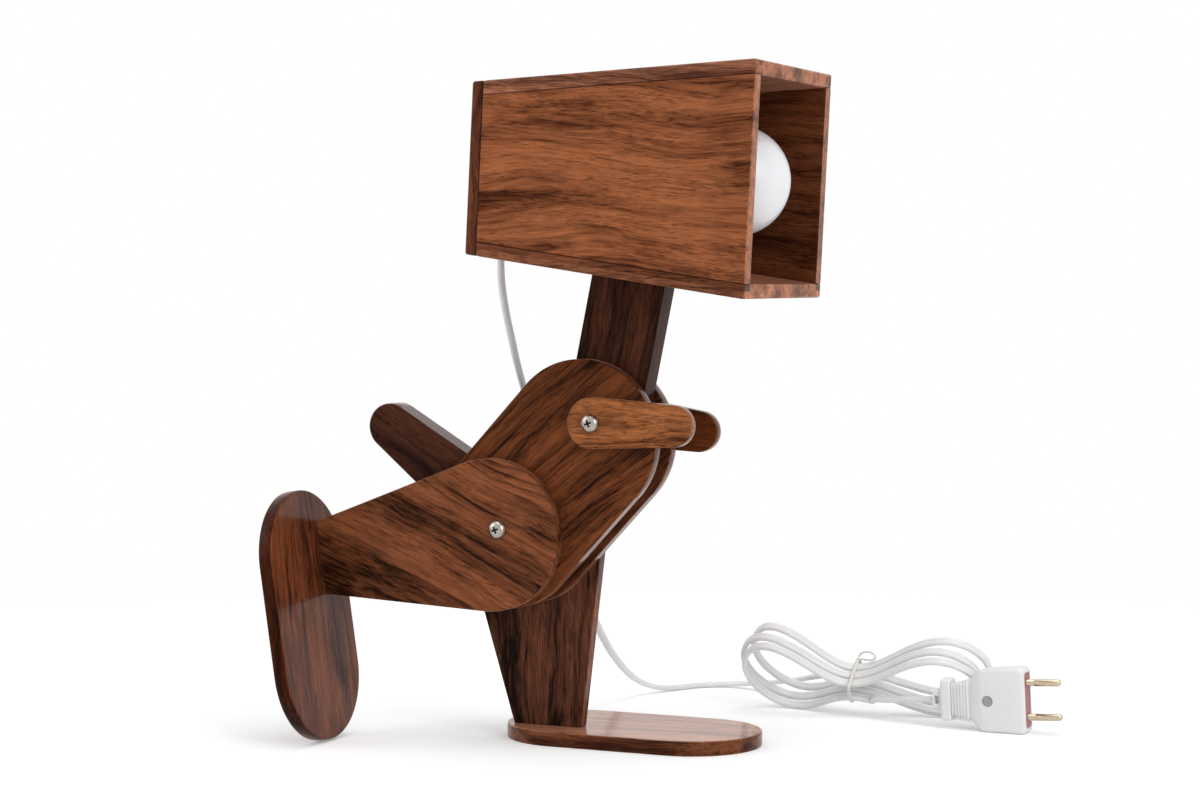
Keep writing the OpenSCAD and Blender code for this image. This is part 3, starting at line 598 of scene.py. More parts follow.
def leadRoute():
    h = hankValues
    count, near = 146, 0.002
    turns = [h["start"] + (h["loops"] - 2 * h["start"]) * i / count for i in range(count + 1)]
    loops = [hankPoint(t) for t in turns]
    into = (hankPoint(turns[0] + near) - loops[0]).normalized()
    out = (loops[-1] - hankPoint(turns[-1] - near)).normalized()
    down = Vector((math.sin(nod), 0, math.cos(nod)))
    run = [bushEnd, bushEnd - 6 * down] + [Vector(p) for p in runPoints] + [loops[0] - 7 * into]
    end = [loops[-1] + 6 * out] + [Vector(p) for p in endPoints] + [plugAt]
    points, wide = [], []
    flatFrom, leanFrom = 0.6, 0.75  # shares of the run: flat on the floor from the first, leaning with the hank after
    for i, p in enumerate(run):
        k = i / (len(run) + 1)
        t = (run[min(i + 1, len(run) - 1)] - run[max(i - 1, 0)]).normalized()
        flat = Vector((-t.y, t.x, 0))
        w = Vector((0, 1, 0)).lerp(flat, smoothStep(k / flatFrom)) if k < flatFrom else flat.lerp(
            -hankNormal, smoothStep((k - leanFrom) / (1 - leanFrom)))
        points.append(p)
        wide.append(w)
    points += loops
    wide += [-hankNormal] * len(loops)
    for i, p in enumerate(end):
        points.append(p)
        wide.append((-hankNormal).lerp(Vector((0, 1, 0)), (i + 1) / len(end)))
    return points, wide


def splinePoints(points, wide, step):
    dense, denseWide = [], []
    last = len(points) - 1
    for i in range(last):
        p0, p1, p2, p3 = (points[max(i - 1, 0)], points[i], points[i + 1], points[min(i + 2, last)])
        span = max((p2 - p1).length, 1e-6)
        m1 = (p2 - p0) / max((p2 - p1).length + (p1 - p0).length, 1e-6) * span
        m2 = (p3 - p1) / max((p3 - p2).length + (p2 - p1).length, 1e-6) * span
        pieces = max(2, int(span / leadValues["splineStep"]))
        for j in range(pieces):
            t = j / pieces
            a, b = t * t * t, t * t
            dense.append((2 * a - 3 * b + 1) * p1 + (a - 2 * b + t) * m1 + (3 * b - 2 * a) * p2 + (a - b) * m2)
            denseWide.append(wide[i].lerp(wide[i + 1], t))
    dense.append(points[-1])
    denseWide.append(wide[-1])
    for _ in range(leadValues["smoothing"]):  # takes the last kinks out of the joins
        inner = [(a + 2 * b + c) / 4 for a, b, c in zip(dense, dense[1:], dense[2:])]
        dense = [dense[0]] + inner + [dense[-1]]
    total, marks = 0.0, [0.0]
    for a, b in zip(dense, dense[1:]):
        total += (b - a).length
        marks.append(total)
    count = round(total / step)
    out, outWide, at = [], [], 0
    for k in range(count + 1):
        want = total * k / count
        while at < len(marks) - 2 and marks[at + 1] < want:
            at += 1
        f = (want - marks[at]) / max(marks[at + 1] - marks[at], 1e-9)
        out.append(dense[at].lerp(dense[at + 1], f))
        outWide.append(denseWide[at].lerp(denseWide[at + 1], f))
    return out, outWide, total


def twinSection(sides):  # flat twin: two round cores side by side with a shallow groove between them
    half, r = leadValues["width"] / 2, leadValues["thick"] / 2
    shift = half - r
    section = []
    for k in range(sides):
        a = 2 * math.pi * (k + 0.5) / sides
        x = half * math.copysign(abs(math.cos(a)) ** leadValues["flatness"], math.cos(a))
        inner = max(0.0, abs(x) - shift)
        y = math.sqrt(max(r * r - inner * inner, 0.0))
        y -= leadValues["groove"] * math.exp(-(x / leadValues["grooveWide"]) ** 2)
        section.append((x, math.copysign(max(y, 0.02), math.sin(a))))
    return section


def makeLead(material):
    points, wide = leadRoute()
    path, across, total = splinePoints(points, wide, leadValues["ringStep"])
    section = twinSection(leadValues["sides"])
    work = bmesh.new()
    along = work.verts.layers.float_vector.new("lay")
    rings, run = [], 0.0
    for i, p in enumerate(path):
        t = (path[min(i + 1, len(path) - 1)] - path[max(i - 1, 0)]).normalized()
        w = (across[i] - across[i].dot(t) * t).normalized()
        s = t.cross(w)
        if i:
            run += (p - path[i - 1]).length
        ring = []
        for x, y in section:
            vert = work.verts.new((p + x * w + y * s) * mm)
            vert[along] = (run * mm, x * mm, y * mm)
            ring.append(vert)
        rings.append(ring)
    skinRings(work, rings)
    mesh = meshFrom("lead", work, material)
    mesh.shade_smooth()
    mesh.set_sharp_from_angle(angle=deg(60))
    return addObject("lead", mesh), path, total


lead, leadPath, leadLength = makeLead(plainMaterial("leadJacket", leadFinish, "lay"))
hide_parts("cord_run", "cord_hank", "cord_end")
print("stage: lead", round(leadLength), "mm")

# turn: degrees about y that bring the grain to x; heart: where the growth lines wind about, in metres after the turn;
# rims: way, which faces of it, colour gain, lacquer; strips: way, a point of the far side, kind
woods = {
    # the front rims of headSideNear, headSideFar, headTop and headBottom make the front end faces lighter: a painted
    # highlight where they face the right lamp
    "headSideNear": {"light": (0.395, 0.131, 0.0510), "dark": (0.052, 0.0122, 0.0042), "heart": (0.13, 0.10, -0.262),
                     "turn": -3, "lines": 210.0, "figure": 0.2, "contrast": 1.05,
                     "rims": (("front", "ends", (1.4, 1.5, 1.6), 0.6),)},
    "headSideFar": {"light": (0.190, 0.058, 0.0220), "dark": (0.032, 0.0080, 0.0030), "heart": (0.41, -0.12, -0.34),
                    "turn": -3, "lines": 170.0, "figure": 0.35,
                    "rims": (("front", "ends", (2.6, 3.2, 3.6), 0.5),)},
    "headTop": {"light": (0.520, 0.205, 0.1120), "dark": (0.080, 0.0260, 0.0150), "heart": (0.7, 0.03, -0.47),
                "turn": -3, "lines": 170.0, "figure": 0.3,
                "rims": (("front", "ends", (1.2, 1.1, 0.95), 0.35),),
                "strips": (("topDown", (0, 0, lidInside), "joint"),)},
    "headBottom": {"light": (0.430, 0.160, 0.0800), "dark": (0.080, 0.0260, 0.0130), "heart": (1.1, -0.03, -0.15),
                   "turn": -3, "lines": 170.0, "figure": 0.3, "coat": 0.35,
                   # its bottomUp rim darkens the board's top face inside the head: painted shade
                   "rims": (("bottomUp", "faces", (0.62, 0.42, 0.30), 0.6), ("front", "ends", (1.75, 1.85, 1.8), 0.8)),
                   "strips": (("bottomUp", (0, 0, -lidInside), "inlay"), ("bottomUp", (0, 0, -lidInside), "joint"))},
    "headBack": {"light": (0.190, 0.058, 0.0270), "dark": (0.040, 0.0120, 0.0060), "heart": (0.3, 0.16, 0.06),
                 "turn": 90, "lines": 190.0, "figure": 0.4,
                 "rims": (("front", "ends", (1, 1, 1), 1.0),),
                 "strips": (("front", (lamp["backT"], 0, 0), "joint"),)},
    "neckBoard": {"light": (0.130, 0.040, 0.0190), "dark": (0.014, 0.0048, 0.0030), "heart": (0.6, 0.08, 0.07),
                  "turn": 78, "lines": 230.0, "figure": 0.3,
                  # its rim darkens the edge faces and takes lacquer off: painted shade where the neck stands under the
                  # head
                  "rims": (("side", "edges", (0.8, 0.7, 0.7), 0.2),)},
    "torsoRight": {"light": (0.225, 0.066, 0.0220), "dark": (0.018, 0.0043, 0.0015), "heart": (0.25, 0.09, -0.22),
                   "turn": 40, "lines": 250.0, "figure": 0.4},
    "torsoLeft": {"light": (0.200, 0.064, 0.0260), "dark": (0.025, 0.0070, 0.0030), "heart": (0.9, -0.10, -0.05),
                  "turn": 42, "lines": 250.0, "figure": 0.4},
    "legRaised": {"light": (0.310, 0.100, 0.0410), "dark": (0.022, 0.0065, 0.0028), "heart": (0.4, 0.11, -0.02),
                  "turn": -23, "lines": 270.0, "figure": 0.45},
    "legStanding": {"light": (0.196, 0.067, 0.0360), "dark": (0.010, 0.0038, 0.0023), "heart": (0.2, -0.09, -0.13),
                    "turn": 94, "lines": 200.0, "figure": 0.45, "contrast": 1.2,
                    # its rim makes the edge faces lighter and warmer: a painted highlight on the leg's edges
                    "rims": (("side", "edges", (1.7, 1.5, 1.4), 0.7),)},
    "footRaised": {"light": (0.250, 0.071, 0.0270), "dark": (0.022, 0.0050, 0.0023), "heart": (0.9, 0.05, 0.24),
                   "turn": -81.6, "lines": 150.0, "figure": 0.45,
                   "rims": (("raisedSole", "edges", (0.30, 0.24, 0.22), 0.55),)},
    "footBase": {"light": (0.580, 0.245, 0.1150), "dark": (0.095, 0.0310, 0.0160), "heart": (1.3, -0.05, 0.11),
                 "turn": 0, "lines": 180.0, "figure": 0.45,
                 "rims": (("sole", "edges", (0.45, 0.36, 0.34), 0.8),)},
    "tailBoard": {"light": (0.095, 0.031, 0.0160), "dark": (0.013, 0.0045, 0.0028), "heart": (0.55, 0.07, -0.02),
                  "turn": -35.6, "lines": 230.0, "figure": 0.3},
    "armRight": {"light": (0.480, 0.168, 0.0590), "dark": (0.060, 0.0160, 0.0050), "heart": (0.15, 0.06, -0.20),
                 "turn": -1, "lines": 260.0, "figure": 0.35, "contrast": 1.05},
    "armLeft": {"light": (0.160, 0.042, 0.0120), "dark": (0.035, 0.0090, 0.0025), "heart": (0.85, -0.07, -0.12),
                "turn": -6.5, "lines": 260.0, "figure": 0.3, "contrast": 0.85},
}


def uprightPlace(x, z, y):
    return Vector((x, y, z))


def headBoardPlace(x, z, y):
    return headPlace(x, y, z)


def holeThrough(piece, centre, radius, y0, y1):
    work = lathe([(y0, 0), (y0, radius), (y1, radius), (y1, 0)], 48)
    moveWork(work, lambda v: Vector((centre.x + v.y, v.x, centre.z + v.z)))
    cutWith(piece, meshFrom("hole", work))


def addBoard(name, node, body, outline, y0, y1, place=uprightPlace, edge="plate", holes=(), seam=None):
    mesh = boardMesh(outline, y0, y1, place, bevelValues[edge], seam)
    mesh.name = name
    mesh.materials.append(woodMaterial(name, woods[name]))
    piece = addObject(name, mesh)
    for centre in holes:
        holeThrough(piece, centre, lamp["boltD"] / 2 + lamp["boltPlay"], -60, 60)
    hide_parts(node)
    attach(piece, body)


def taperedOutline(centre, direction, length, r1, r2):
    a = math.degrees(math.asin((r1 - r2) / length))
    far = (centre.x + length * math.cos(deg(direction)), centre.z + length * math.sin(deg(direction)))
    side = 90 - a
    return (arcPoints((centre.x, centre.z), r1, direction + side, direction + 360 - side, 40)
            + arcPoints(far, r2, direction - side, direction + side, 28))


def stadiumOutline(c0, c1, r, steps=48):
    a = math.degrees(math.atan2(c1[1] - c0[1], c1[0] - c0[0]))
    return arcPoints(c1, r, a - 90, a + 90, steps) + arcPoints(c0, r, a + 90, a + 270, steps)


def legOutline(cut):  # in the foot's frame, from the hip bolt; clipped at the foot's face
    reach = lamp["legLen"] - lamp["hipSet"]
    far = math.hypot(reach, lamp["ankleW"] / 2)
    side = math.degrees(math.acos(lamp["hipR"] / far)) + math.degrees(math.atan(lamp["ankleW"] / 2 / reach))
    start = (lamp["hipR"] * math.sin(deg(side)), -lamp["hipR"] * math.cos(deg(side)))
    slope = (lamp["ankleW"] / 2 - start[0]) / (-reach - start[1])
    c, s = math.cos(deg(cut)), math.sin(deg(cut))

    def turned(x, z):
        x, z = x + lamp["hipForward"], z - lamp["hipSet"]
        return (x * c - z * s, x * s + z * c)

    arc = arcPoints((0, 0), lamp["hipR"], side - 90, 270 - side, 72)
    points = [turned(*p) for p in arc]
    for sign, p in ((-1, points[-1]), (1, points[0])):
        q = turned(sign * (start[0] + slope * (-reach - 12 - start[1])), -reach - 12)
        f = (-lamp["legLen"] - p[1]) / (q[1] - p[1])
        points.append((p[0] + f * (q[0] - p[0]), -lamp["legLen"]))
    return points


def raisedPlace(x, z, y):
    c, s = math.cos(deg(lamp["raise"])), math.sin(deg(lamp["raise"]))
    return Vector((hip.x + x * c + z * s, -(y + limbY), hip.z - x * s + z * c))


def standingPlace(x, z, y):
    return Vector((hip.x + x, y + limbY, hip.z + z))


# a foot's outline lies flat: across is x, up is y, and the board's depth runs down from the leg
def footOutline(setting, length):
    r = lamp["footW"] / 2
    y = lamp["footSide"] - limbY
    return stadiumOutline((setting - length / 2 + r, y), (setting + length / 2 - r, y), r, 56)


def standingFootPlace(x, y, z):
    return standingPlace(x, z, y)


def raisedFootPlace(x, y, z):
    return raisedPlace(x, z, y)


def headSeam(p, q):  # points along, up and across in the head's own frame; an outer edge lies in two of the planes
    near = 0.01
    planes = (lambda v: abs(v.x), lambda v: abs(v.x - lamp["headLen"]), lambda v: abs(abs(v.z) - lamp["headW"] / 2),
              lambda v: abs(abs(v.y) - halfH(v.x)))
    return sum(off(p) < near and off(q) < near for off in planes) < 2


def makeBoards():
    boltHoles = (hip, shoulder)
    thick = lamp["plateT"]
    lean = deg(lamp["torsoLean"])
    upper = (hip.x + lamp["torsoLen"] * math.cos(lean), hip.z + lamp["torsoLen"] * math.sin(lean))
    torso = stadiumOutline((hip.x, hip.z), upper, lamp["torsoR"], 64)
    addBoard("torsoRight", "torso_plate_right", "torso", torso, -plateY - thick, -plateY, holes=boltHoles)
    addBoard("torsoLeft", "torso_plate_left", "torso", torso, plateY, plateY + thick, holes=boltHoles)

    addBoard("legStanding", "standing_leg", "left_leg", legOutline(lamp["standingCut"]), 0, thick, standingPlace,
             holes=(hip,))
    addBoard("legRaised", "raised_leg", "right_leg", legOutline(lamp["raisedCut"]), 0, thick, raisedPlace, holes=(hip,))
    ankle = -lamp["legLen"]
    addBoard("footBase", "base_foot", "left_leg", footOutline(lamp["baseFootSet"], lamp["baseFootLen"]),
             ankle - lamp["footT"], ankle, standingFootPlace, "foot")
    addBoard("footRaised", "raised_foot", "right_leg", footOutline(raisedFootSet, lamp["raisedFootLen"]),
             ankle - lamp["footT"], ankle, raisedFootPlace, "foot")

    tail = taperedOutline(hip, 180 - lamp["tailRise"], lamp["tailLen"], lamp["tailRootR"], lamp["tailTipR"])
    addBoard("tailBoard", "tail", "tail", tail, -lamp["middleT"] / 2, lamp["middleT"] / 2, holes=(hip,), edge="tail")
    for name, node, body, droop, sign in (("armRight", "right_arm", "right_arm", lamp["rightDroop"], -1),
                                          ("armLeft", "left_arm", "left_arm", lamp["leftDroop"], 1)):
        arm = taperedOutline(shoulder, -droop, lamp["armLen"], lamp["armRootR"], lamp["armTipR"])
        y0, y1 = sorted((sign * limbY, sign * (limbY + lamp["armT"])))
        addBoard(name, node, body, arm, y0, y1, holes=(shoulder,), edge="arm")

    lean = deg(lamp["neckLean"])
    along, across = Vector((math.sin(lean), 0, math.cos(lean))), Vector((math.cos(lean), 0, -math.sin(lean)))
    low0, low1 = headPlace(0, 0, -halfH(0)), headPlace(lamp["headLen"], 0, -halfH(lamp["headLen"]))
    under = (low1 - low0).normalized()
    up = Vector((-under.z, 0, under.x))
    neck = arcPoints((shoulder.x, shoulder.z), lamp["neckW"] / 2, 180 - lamp["neckLean"], 360 - lamp["neckLean"], 48)
    for sign in (1, -1):
        p = shoulder + sign * lamp["neckW"] / 2 * across
        p = p + along * ((low0 - p).dot(up) / along.dot(up))
        neck.append((p.x, p.z))
    addBoard("neckBoard", "neck", "head", neck, -lamp["middleT"] / 2, lamp["middleT"] / 2, holes=(shoulder,))

    t, length, w = lamp["backT"], lamp["headLen"], lamp["headW"] / 2
    lid = lamp["lidT"] / math.cos(headTaper)
    top = [(t, halfH(t, lid)), (length, halfH(length, lid)), (length, halfH(length)), (t, halfH(t))]
    low = [(x, -z) for x, z in top]
    side = [(t, -halfH(t, lid)), (length, -halfH(length, lid)), (length, halfH(length, lid)), (t, halfH(t, lid))]
    back = [(0, -halfH(0)), (t, -halfH(t)), (t, halfH(t)), (0, halfH(0))]
    inner = w - lamp["sideT"]
    for name, node, outline, y0, y1, edge in (
            ("headTop", "head_top", top, -w, w, "headFrame"), ("headBottom", "head_bottom", low, -w, w, "headFrame"),
            ("headSideNear", "head_side_right", side, -w, -inner, "headSide"),
            ("headSideFar", "head_side_left", side, inner, w, "headSide"),
            ("headBack", "head_back", back, -w, w, "headFrame")):
        addBoard(name, node, "head", outline, y0, y1, headBoardPlace, edge, seam=headSeam)


makeBoards()
print("stage: boards")

# finishes other than wood: tint is the worn or dusty colour, amount how much of it shows
finishes = {
    "steel": {"color": (0.40, 0.37, 0.33), "tint": (0.22, 0.19, 0.16), "amount": 0.5, "rough": 0.26, "scale": 300.0,
              "metallic": 1.0, "bump": 0.05},
    # the bolt heads' cross recesses are painted near black: painted shade, with some dirt and oil
    "recessShadeAndDirt": {"color": (0.035, 0.030, 0.026), "tint": (0.08, 0.07, 0.06), "amount": 0.3, "rough": 0.5,
                   "scale": 300.0, "metallic": 0.5},
    "brass": {"color": (0.56, 0.47, 0.35), "tint": (0.36, 0.27, 0.18), "amount": 0.35, "rough": 0.18, "scale": 260.0,
              "metallic": 1.0, "bump": 0.03},
    "capMetal": {"color": (0.74, 0.74, 0.75), "tint": (0.5, 0.5, 0.5), "amount": 0.25, "rough": 0.22, "scale": 200.0,
                 "metallic": 1.0, "bump": 0.03},
    "bulbHousing": {"color": (0.80, 0.80, 0.79), "tint": (0.66, 0.65, 0.62), "amount": 0.12, "rough": 0.35,
                    "scale": 60.0, "subsurface": 0.05},
    "bulbDome": {"color": (0.85, 0.85, 0.875), "tint": (0.76, 0.76, 0.79), "amount": 0.10, "rough": 0.30, "scale": 40.0,
                 "subsurface": 0.25, "coat": 0.25, "bump": 0.02},
    "holderPlastic": {"color": (0.74, 0.74, 0.72), "tint": (0.56, 0.54, 0.50), "amount": 0.2, "rough": 0.42,
                      "scale": 80.0},
    "softMoulding": {"color": (0.78, 0.78, 0.77), "tint": (0.60, 0.58, 0.55), "amount": 0.2, "rough": 0.48,
                     "scale": 110.0},
    "plugPlastic": {"color": (0.84, 0.83, 0.84), "tint": (0.70, 0.68, 0.67), "amount": 0.15, "rough": 0.36,
                    "scale": 70.0, "subsurface": 0.06, "bump": 0.10},
    "plugRed": {"color": (0.33, 0.105, 0.095), "tint": (0.22, 0.07, 0.065), "amount": 0.3, "rough": 0.45,
                "scale": 160.0},
    "plugGrey": {"color": (0.36, 0.36, 0.35), "tint": (0.26, 0.26, 0.25), "amount": 0.3, "rough": 0.4, "scale": 300.0},
    "tieVinyl": {"color": (0.74, 0.73, 0.69), "tint": (0.6, 0.57, 0.5), "amount": 0.25, "rough": 0.4, "scale": 180.0},
}
materials = {name: plainMaterial(name, values) for name, values in finishes.items()}


def addTurned(name, profile, place, material, body, nodes, steps=72, smoothAngle=35):
    finishMesh(name, moveWork(lathe(profile, steps), place), materials[material], body, nodes, smoothAngle)


def headAxisPlace(v):  # the lathe's axis along the head, in its middle
    return headPlace(v.x, v.y, v.z)


# bulb and lamp holder, in millimetres along the head's middle
bulbValues = {"wall": 1.6, "threadTurns": 5, "threadPitch": 3.6, "threadDepth": 1.1, "capPlay": 0.35, "sleeve": 0.6,
              "domeTurn": 111.0, "joinBack": 0.68, "rim": 0.466, "holderPast": 1.5, "ribs": 6, "ribStep": 3}
bulbFront = lamp["headLen"] - lamp["bulbInset"]
capX = bulbFront - lamp["bulbLen"]


def threadMesh(x0, radius, turns, pitch, depth, steps=64):  # a rounded screw thread as one wound skin
    work = bmesh.new()
    perPitch, fadeSteps = 8, 4
    rows = []
    count = int(turns * perPitch)
    for i in range(count + 1):
        row = []
        for k in range(steps):
            phase = i / perPitch - k / steps
            edge = min(1.0, i / fadeSteps, (count - i) / fadeSteps)
            r = radius - depth / 2 + depth / 2 * math.cos(2 * math.pi * phase) * edge - (1 - edge) * depth / 2
            a = 2 * math.pi * k / steps
            row.append(work.verts.new((x0 + i * pitch / perPitch, r * math.cos(a), r * math.sin(a))))
        rows.append(row)
    skinRings(work, rows, False)
    tipX, tipR = x0 - 4.0, 4.6
    tip = work.verts.new((tipX, 0, 0))
    inner = [work.verts.new((tipX, tipR * c, tipR * s)) for c, s in circle(steps)]
    end = work.verts.new((rows[-1][0].co.x, 0, 0))
    for k in range(steps):
        j = (k + 1) % steps
        work.faces.new((rows[0][j], rows[0][k], inner[k], inner[j]))
        work.faces.new((tip, inner[j], inner[k]))
        work.faces.new((end, rows[-1][k], rows[-1][j]))
    faceOutward(work)
    return work


def makeBulb():
    wall = bulbValues["wall"]
    centre, r = bulbFront - lamp["bulbD"] / 2, lamp["bulbD"] / 2
    join = bulbFront - lamp["bulbD"] * bulbValues["joinBack"]
    dome = arcPoints((centre, 0), r, 0.0, bulbValues["domeTurn"], 40)
    dome += arcPoints((centre, 0), r - wall, bulbValues["domeTurn"] - 1.0, 0.0, 30)
    addTurned("bulbDome", dome, headAxisPlace, "bulbDome", "head", ["bulb_dome"], 96, 50)
    capEnd = capX + lamp["capLen"]
    rim = lamp["bulbD"] * bulbValues["rim"]
    skin = [(capEnd, 4), (capEnd, lamp["capD"] / 2 + 0.2), (capEnd + 0.5, lamp["capD"] / 2 + 0.7),
            (capEnd + 1.5, lamp["capD"] / 2 + 1)]
    knots = [(capEnd + 1.5, 14.0), (capEnd + 8, 15.2), (capEnd + 0.62 * (join - capEnd), 19.2), (join - 3.5, rim - 1.6)]
    for i in range(1, 13):
        f = i / 12 * (len(knots) - 1)
        j = min(int(f), len(knots) - 2)
        t = f - j
        skin.append([a + t * (b - a) for a, b in zip(knots[j], knots[j + 1])])
    skin += [(join - 2.6, rim - 1.2), (join - 2.2, rim - 1.7), (join - 1.4, rim - 1.7), (join - 1.0, rim - 0.1),
             (join, rim)]
    back = [(x, y - wall) for x, y in reversed(skin[4:])] + [(capEnd + 1.5, 4)]
    addTurned("bulbHousing", skin + back + [(capEnd, 4)], headAxisPlace, "bulbHousing", "head", ["bulb_body"], 72, 30)
    work = threadMesh(capX + 4.2, lamp["capD"] / 2, bulbValues["threadTurns"], bulbValues["threadPitch"],
                      bulbValues["threadDepth"])
    finishMesh("bulbCap", moveWork(work, headAxisPlace), materials["capMetal"], "head", ["bulb_cap"], 40)

    foot, mouth = lamp["backT"], capX + lamp["capLen"] + bulbValues["holderPast"]
    hollow = lamp["capD"] / 2 + bulbValues["capPlay"] + bulbValues["sleeve"]
    footR, bodyR, step = lamp["holderFootD"] / 2, lamp["holderD"] / 2, foot + lamp["holderFootT"]
    shell = [(foot, 16), (foot, footR - 0.8), (foot + 0.8, footR), (step - 1.5, footR), (step - 0.4, footR - 0.6),
             (step, footR - 1.6), (step, bodyR + 0.8), (step + 0.8, bodyR)]
    shell += [(step + 6 + bulbValues["ribStep"] * i + d, bodyR - e) for i in range(bulbValues["ribs"])
              for d, e in ((0, 0), (0.4, 0.5), (1.2, 0.5), (1.6, 0))]
    shell += [(mouth - 1.2, bodyR), (mouth - 0.3, bodyR - 0.4), (mouth, bodyR - 1.2), (mouth, hollow + 0.6),
              (mouth - 0.6, hollow), (capX - 2, hollow), (capX - 2, 4), (step, 4), (step, 16), (foot, 16)]
    addTurned("lampHolder", shell, headAxisPlace, "holderPlastic", "head", ["lamp_holder"], 72, 35)
    for node, material in (("holder_sleeve", "brass"), ("holder_contact", "brass"), ("holder_screws", "steel"),
                           ("inner_lead", "softMoulding"), ("standing_leg_screws", "steel"),
                           ("raised_leg_screws", "steel"), ("neck_screws", "steel")):
        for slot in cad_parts[node].material_slots:
            slot.material = materials[material]


makeBulb()
print("stage: bulb and holder")

# through bolts, each with its washer and lock nut
boltValues = {"steps": 64, "recessLong": 4.9, "recessWide": 1.05, "recessDeep": 2.1, "turn": 20.0, "dome": 2.3,
              "threads": 8, "threadStep": 0.8, "threadDeep": 0.25}


def sidePlace(centre):
    return lambda v: Vector((centre.x + v.y, v.x, centre.z + v.z))


def addBolt(name, nutName, nodes, centre, reach):
    r, h = lamp["boltHeadD"] / 2, lamp["boltHeadH"]
    rod = lamp["boltD"] / 2
    end = reach + lamp["washerT"] + lamp["nutH"] + 1.5
    v = boltValues
    profile = [(-reach - h, 0)] + [
        (-reach - h + (1 - math.cos(deg(a))) * v["dome"], (r - 0.35) * math.sin(deg(a)) ** 0.9)
        for a in (12, 24, 36, 48, 60, 72, 82)]
    profile += [(-reach - 1.3, r - 0.12), (-reach - 0.9, r - 0.02), (-reach - 0.25, r), (-reach - 0.03, r - 0.2),
                (-reach - 0.03, rod)]
    for i in range(v["threads"]):
        x = end - 6.5 + i * v["threadStep"]
        profile += [(x, rod - v["threadDeep"]), (x + v["threadStep"] / 2, rod)]
    profile += [(end - 0.3, rod - 0.2), (end, rod - 0.5), (end, 0)]
    work = moveWork(lathe(profile, v["steps"]), sidePlace(centre))
    piece = finishMesh(name, work, materials["steel"], "torso", None, 30)
    for turn in (v["turn"], v["turn"] + 90):
        work = bmesh.new()
        bmesh.ops.create_cube(work, size=1.0)
        c, s = math.cos(deg(turn)), math.sin(deg(turn))
        for vert in work.verts:
            taper = 0.55 if vert.co.y > 0 else 1.15
            x, z = vert.co.x * v["recessLong"] * taper, vert.co.z * v["recessWide"]
            y = -reach - h + vert.co.y * 2 * v["recessDeep"]
            vert.co = Vector((centre.x + x * c - z * s, y, centre.z + x * s + z * c)) * mm
        # the recess faces take the near-black finish: painted shade and dirt in the cross
        cutWith(piece, meshFrom("recess", work, materials["recessShadeAndDirt"]))
    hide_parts(nodes[0])

    seat, top = reach + 0.03, reach + lamp["washerT"]
    bore, rim = rod + 0.05, lamp["boltD"]
    steps = 48
    washer = [(seat, bore), (seat, rim), (reach + 0.15, rim + 0.2), (top - 0.15, rim + 0.2), (top, rim), (top, bore)]
    ring = lathe(washer + washer[:1], steps)
    n0, n1 = top + 0.01, top + lamp["nutH"]
    flat = lamp["nutAf"] / 2
    rings = []
    for x, limit, collar in (  # the six flats are cut back to limit; a collar is round
            (n0, flat * 1.10, 0), (n0 + 0.4, 99, 0), (n1 - 1.9, 99, 0), (n1 - 1.5, flat * 1.08, 0), (n1 - 1.3, 0, 3.6),
            (n1 - 0.4, 0, 3.5), (n1, 0, 3.0), (n1, 0, bore), (n0, 0, bore)):
        row = []
        for k, (c, s) in enumerate(circle(steps)):
            local = 360 * k / steps % 60 - 30
            radius = collar if collar else min(flat / math.cos(deg(local)), limit)
            row.append(ring.verts.new((x, radius * c, radius * s)))
        rings.append(row)
    skinRings(ring, rings + rings[:1], False)
    finishMesh(nutName, moveWork(ring, sidePlace(centre)), materials["steel"], "torso", [nodes[1]], 25)


addBolt("hipBolt", "hipNut", ("hip_bolt", "hip_nut"), hip, limbY + lamp["plateT"])
addBolt("shoulderBolt", "shoulderNut", ("shoulder_bolt", "shoulder_nut"), shoulder, limbY + lamp["armT"])
print("stage: bolts")

# bush on the back of the head: a flange, a bend and a ribbed tail that thins out
bushValues = {"ribs": 5, "groove": 0.55, "bendStep": 9, "sides": 32}


def makeBush():
    r, bend, flangeT = lamp["bushR"], lamp["bushBend"], lamp["bushFlangeT"]
    spine = [(0.0, 0.0, lamp["bushFlangeR"] - 0.3), (-0.3, 0.0, lamp["bushFlangeR"]),
             (-flangeT + 0.4, 0.0, lamp["bushFlangeR"]), (-flangeT, 0.0, lamp["bushFlangeR"] - 0.5),
             (-flangeT - 0.02, 0.0, r + 0.5), (-flangeT - 0.25, 0.0, r + 0.1)]
    for a in range(0, 91, bushValues["bendStep"]):
        spine.append((-flangeT - bend * math.sin(deg(a)) - 0.3, -bend * (1 - math.cos(deg(a))), r))
    tail, count = lamp["bushTail"], bushValues["ribs"] * 4
    for i in range(count + 1):
        f = i / count
        groove = bushValues["groove"] if i % 4 in (1, 2) and 0 < i < count - 1 else 0.0
        spine.append((-flangeT - bend - 0.3, -bend - 1.0 - f * (tail - 1.2), r + (lamp["bushTailR"] - r) * f - groove))
    spine.append((-flangeT - bend - 0.3, -bend - tail, lamp["bushTailR"] - 0.5))
    work = bmesh.new()
    rings = []
    for i, (x, z, radius) in enumerate(spine):  # the first six rings are the flange, then the bend begins
        angle = 0.0 if i < 6 else min(90.0, (i - 6) * bushValues["bendStep"])
        direction = Vector((-math.cos(deg(angle)), 0, -math.sin(deg(angle))))
        side = Vector((-direction.z, 0, direction.x))
        middle = Vector((x, 0, z - lamp["bushDrop"]))
        rings.append([work.verts.new(middle + radius * (c * side + s * Vector((0, 1, 0))))
                      for c, s in circle(bushValues["sides"])])
    skinRings(work, rings)
    finishMesh("leadBush", moveWork(work, headAxisPlace), materials["softMoulding"], "head", ["lead_bush"], 40)


makeBush()

plugTurn = deg(plugValues["pitch"])


def plugPlace(v):
    return plugAt + Vector((v.x * math.cos(plugTurn) - v.z * math.sin(plugTurn), v.y,
                            v.x * math.sin(plugTurn) + v.z * math.cos(plugTurn)))


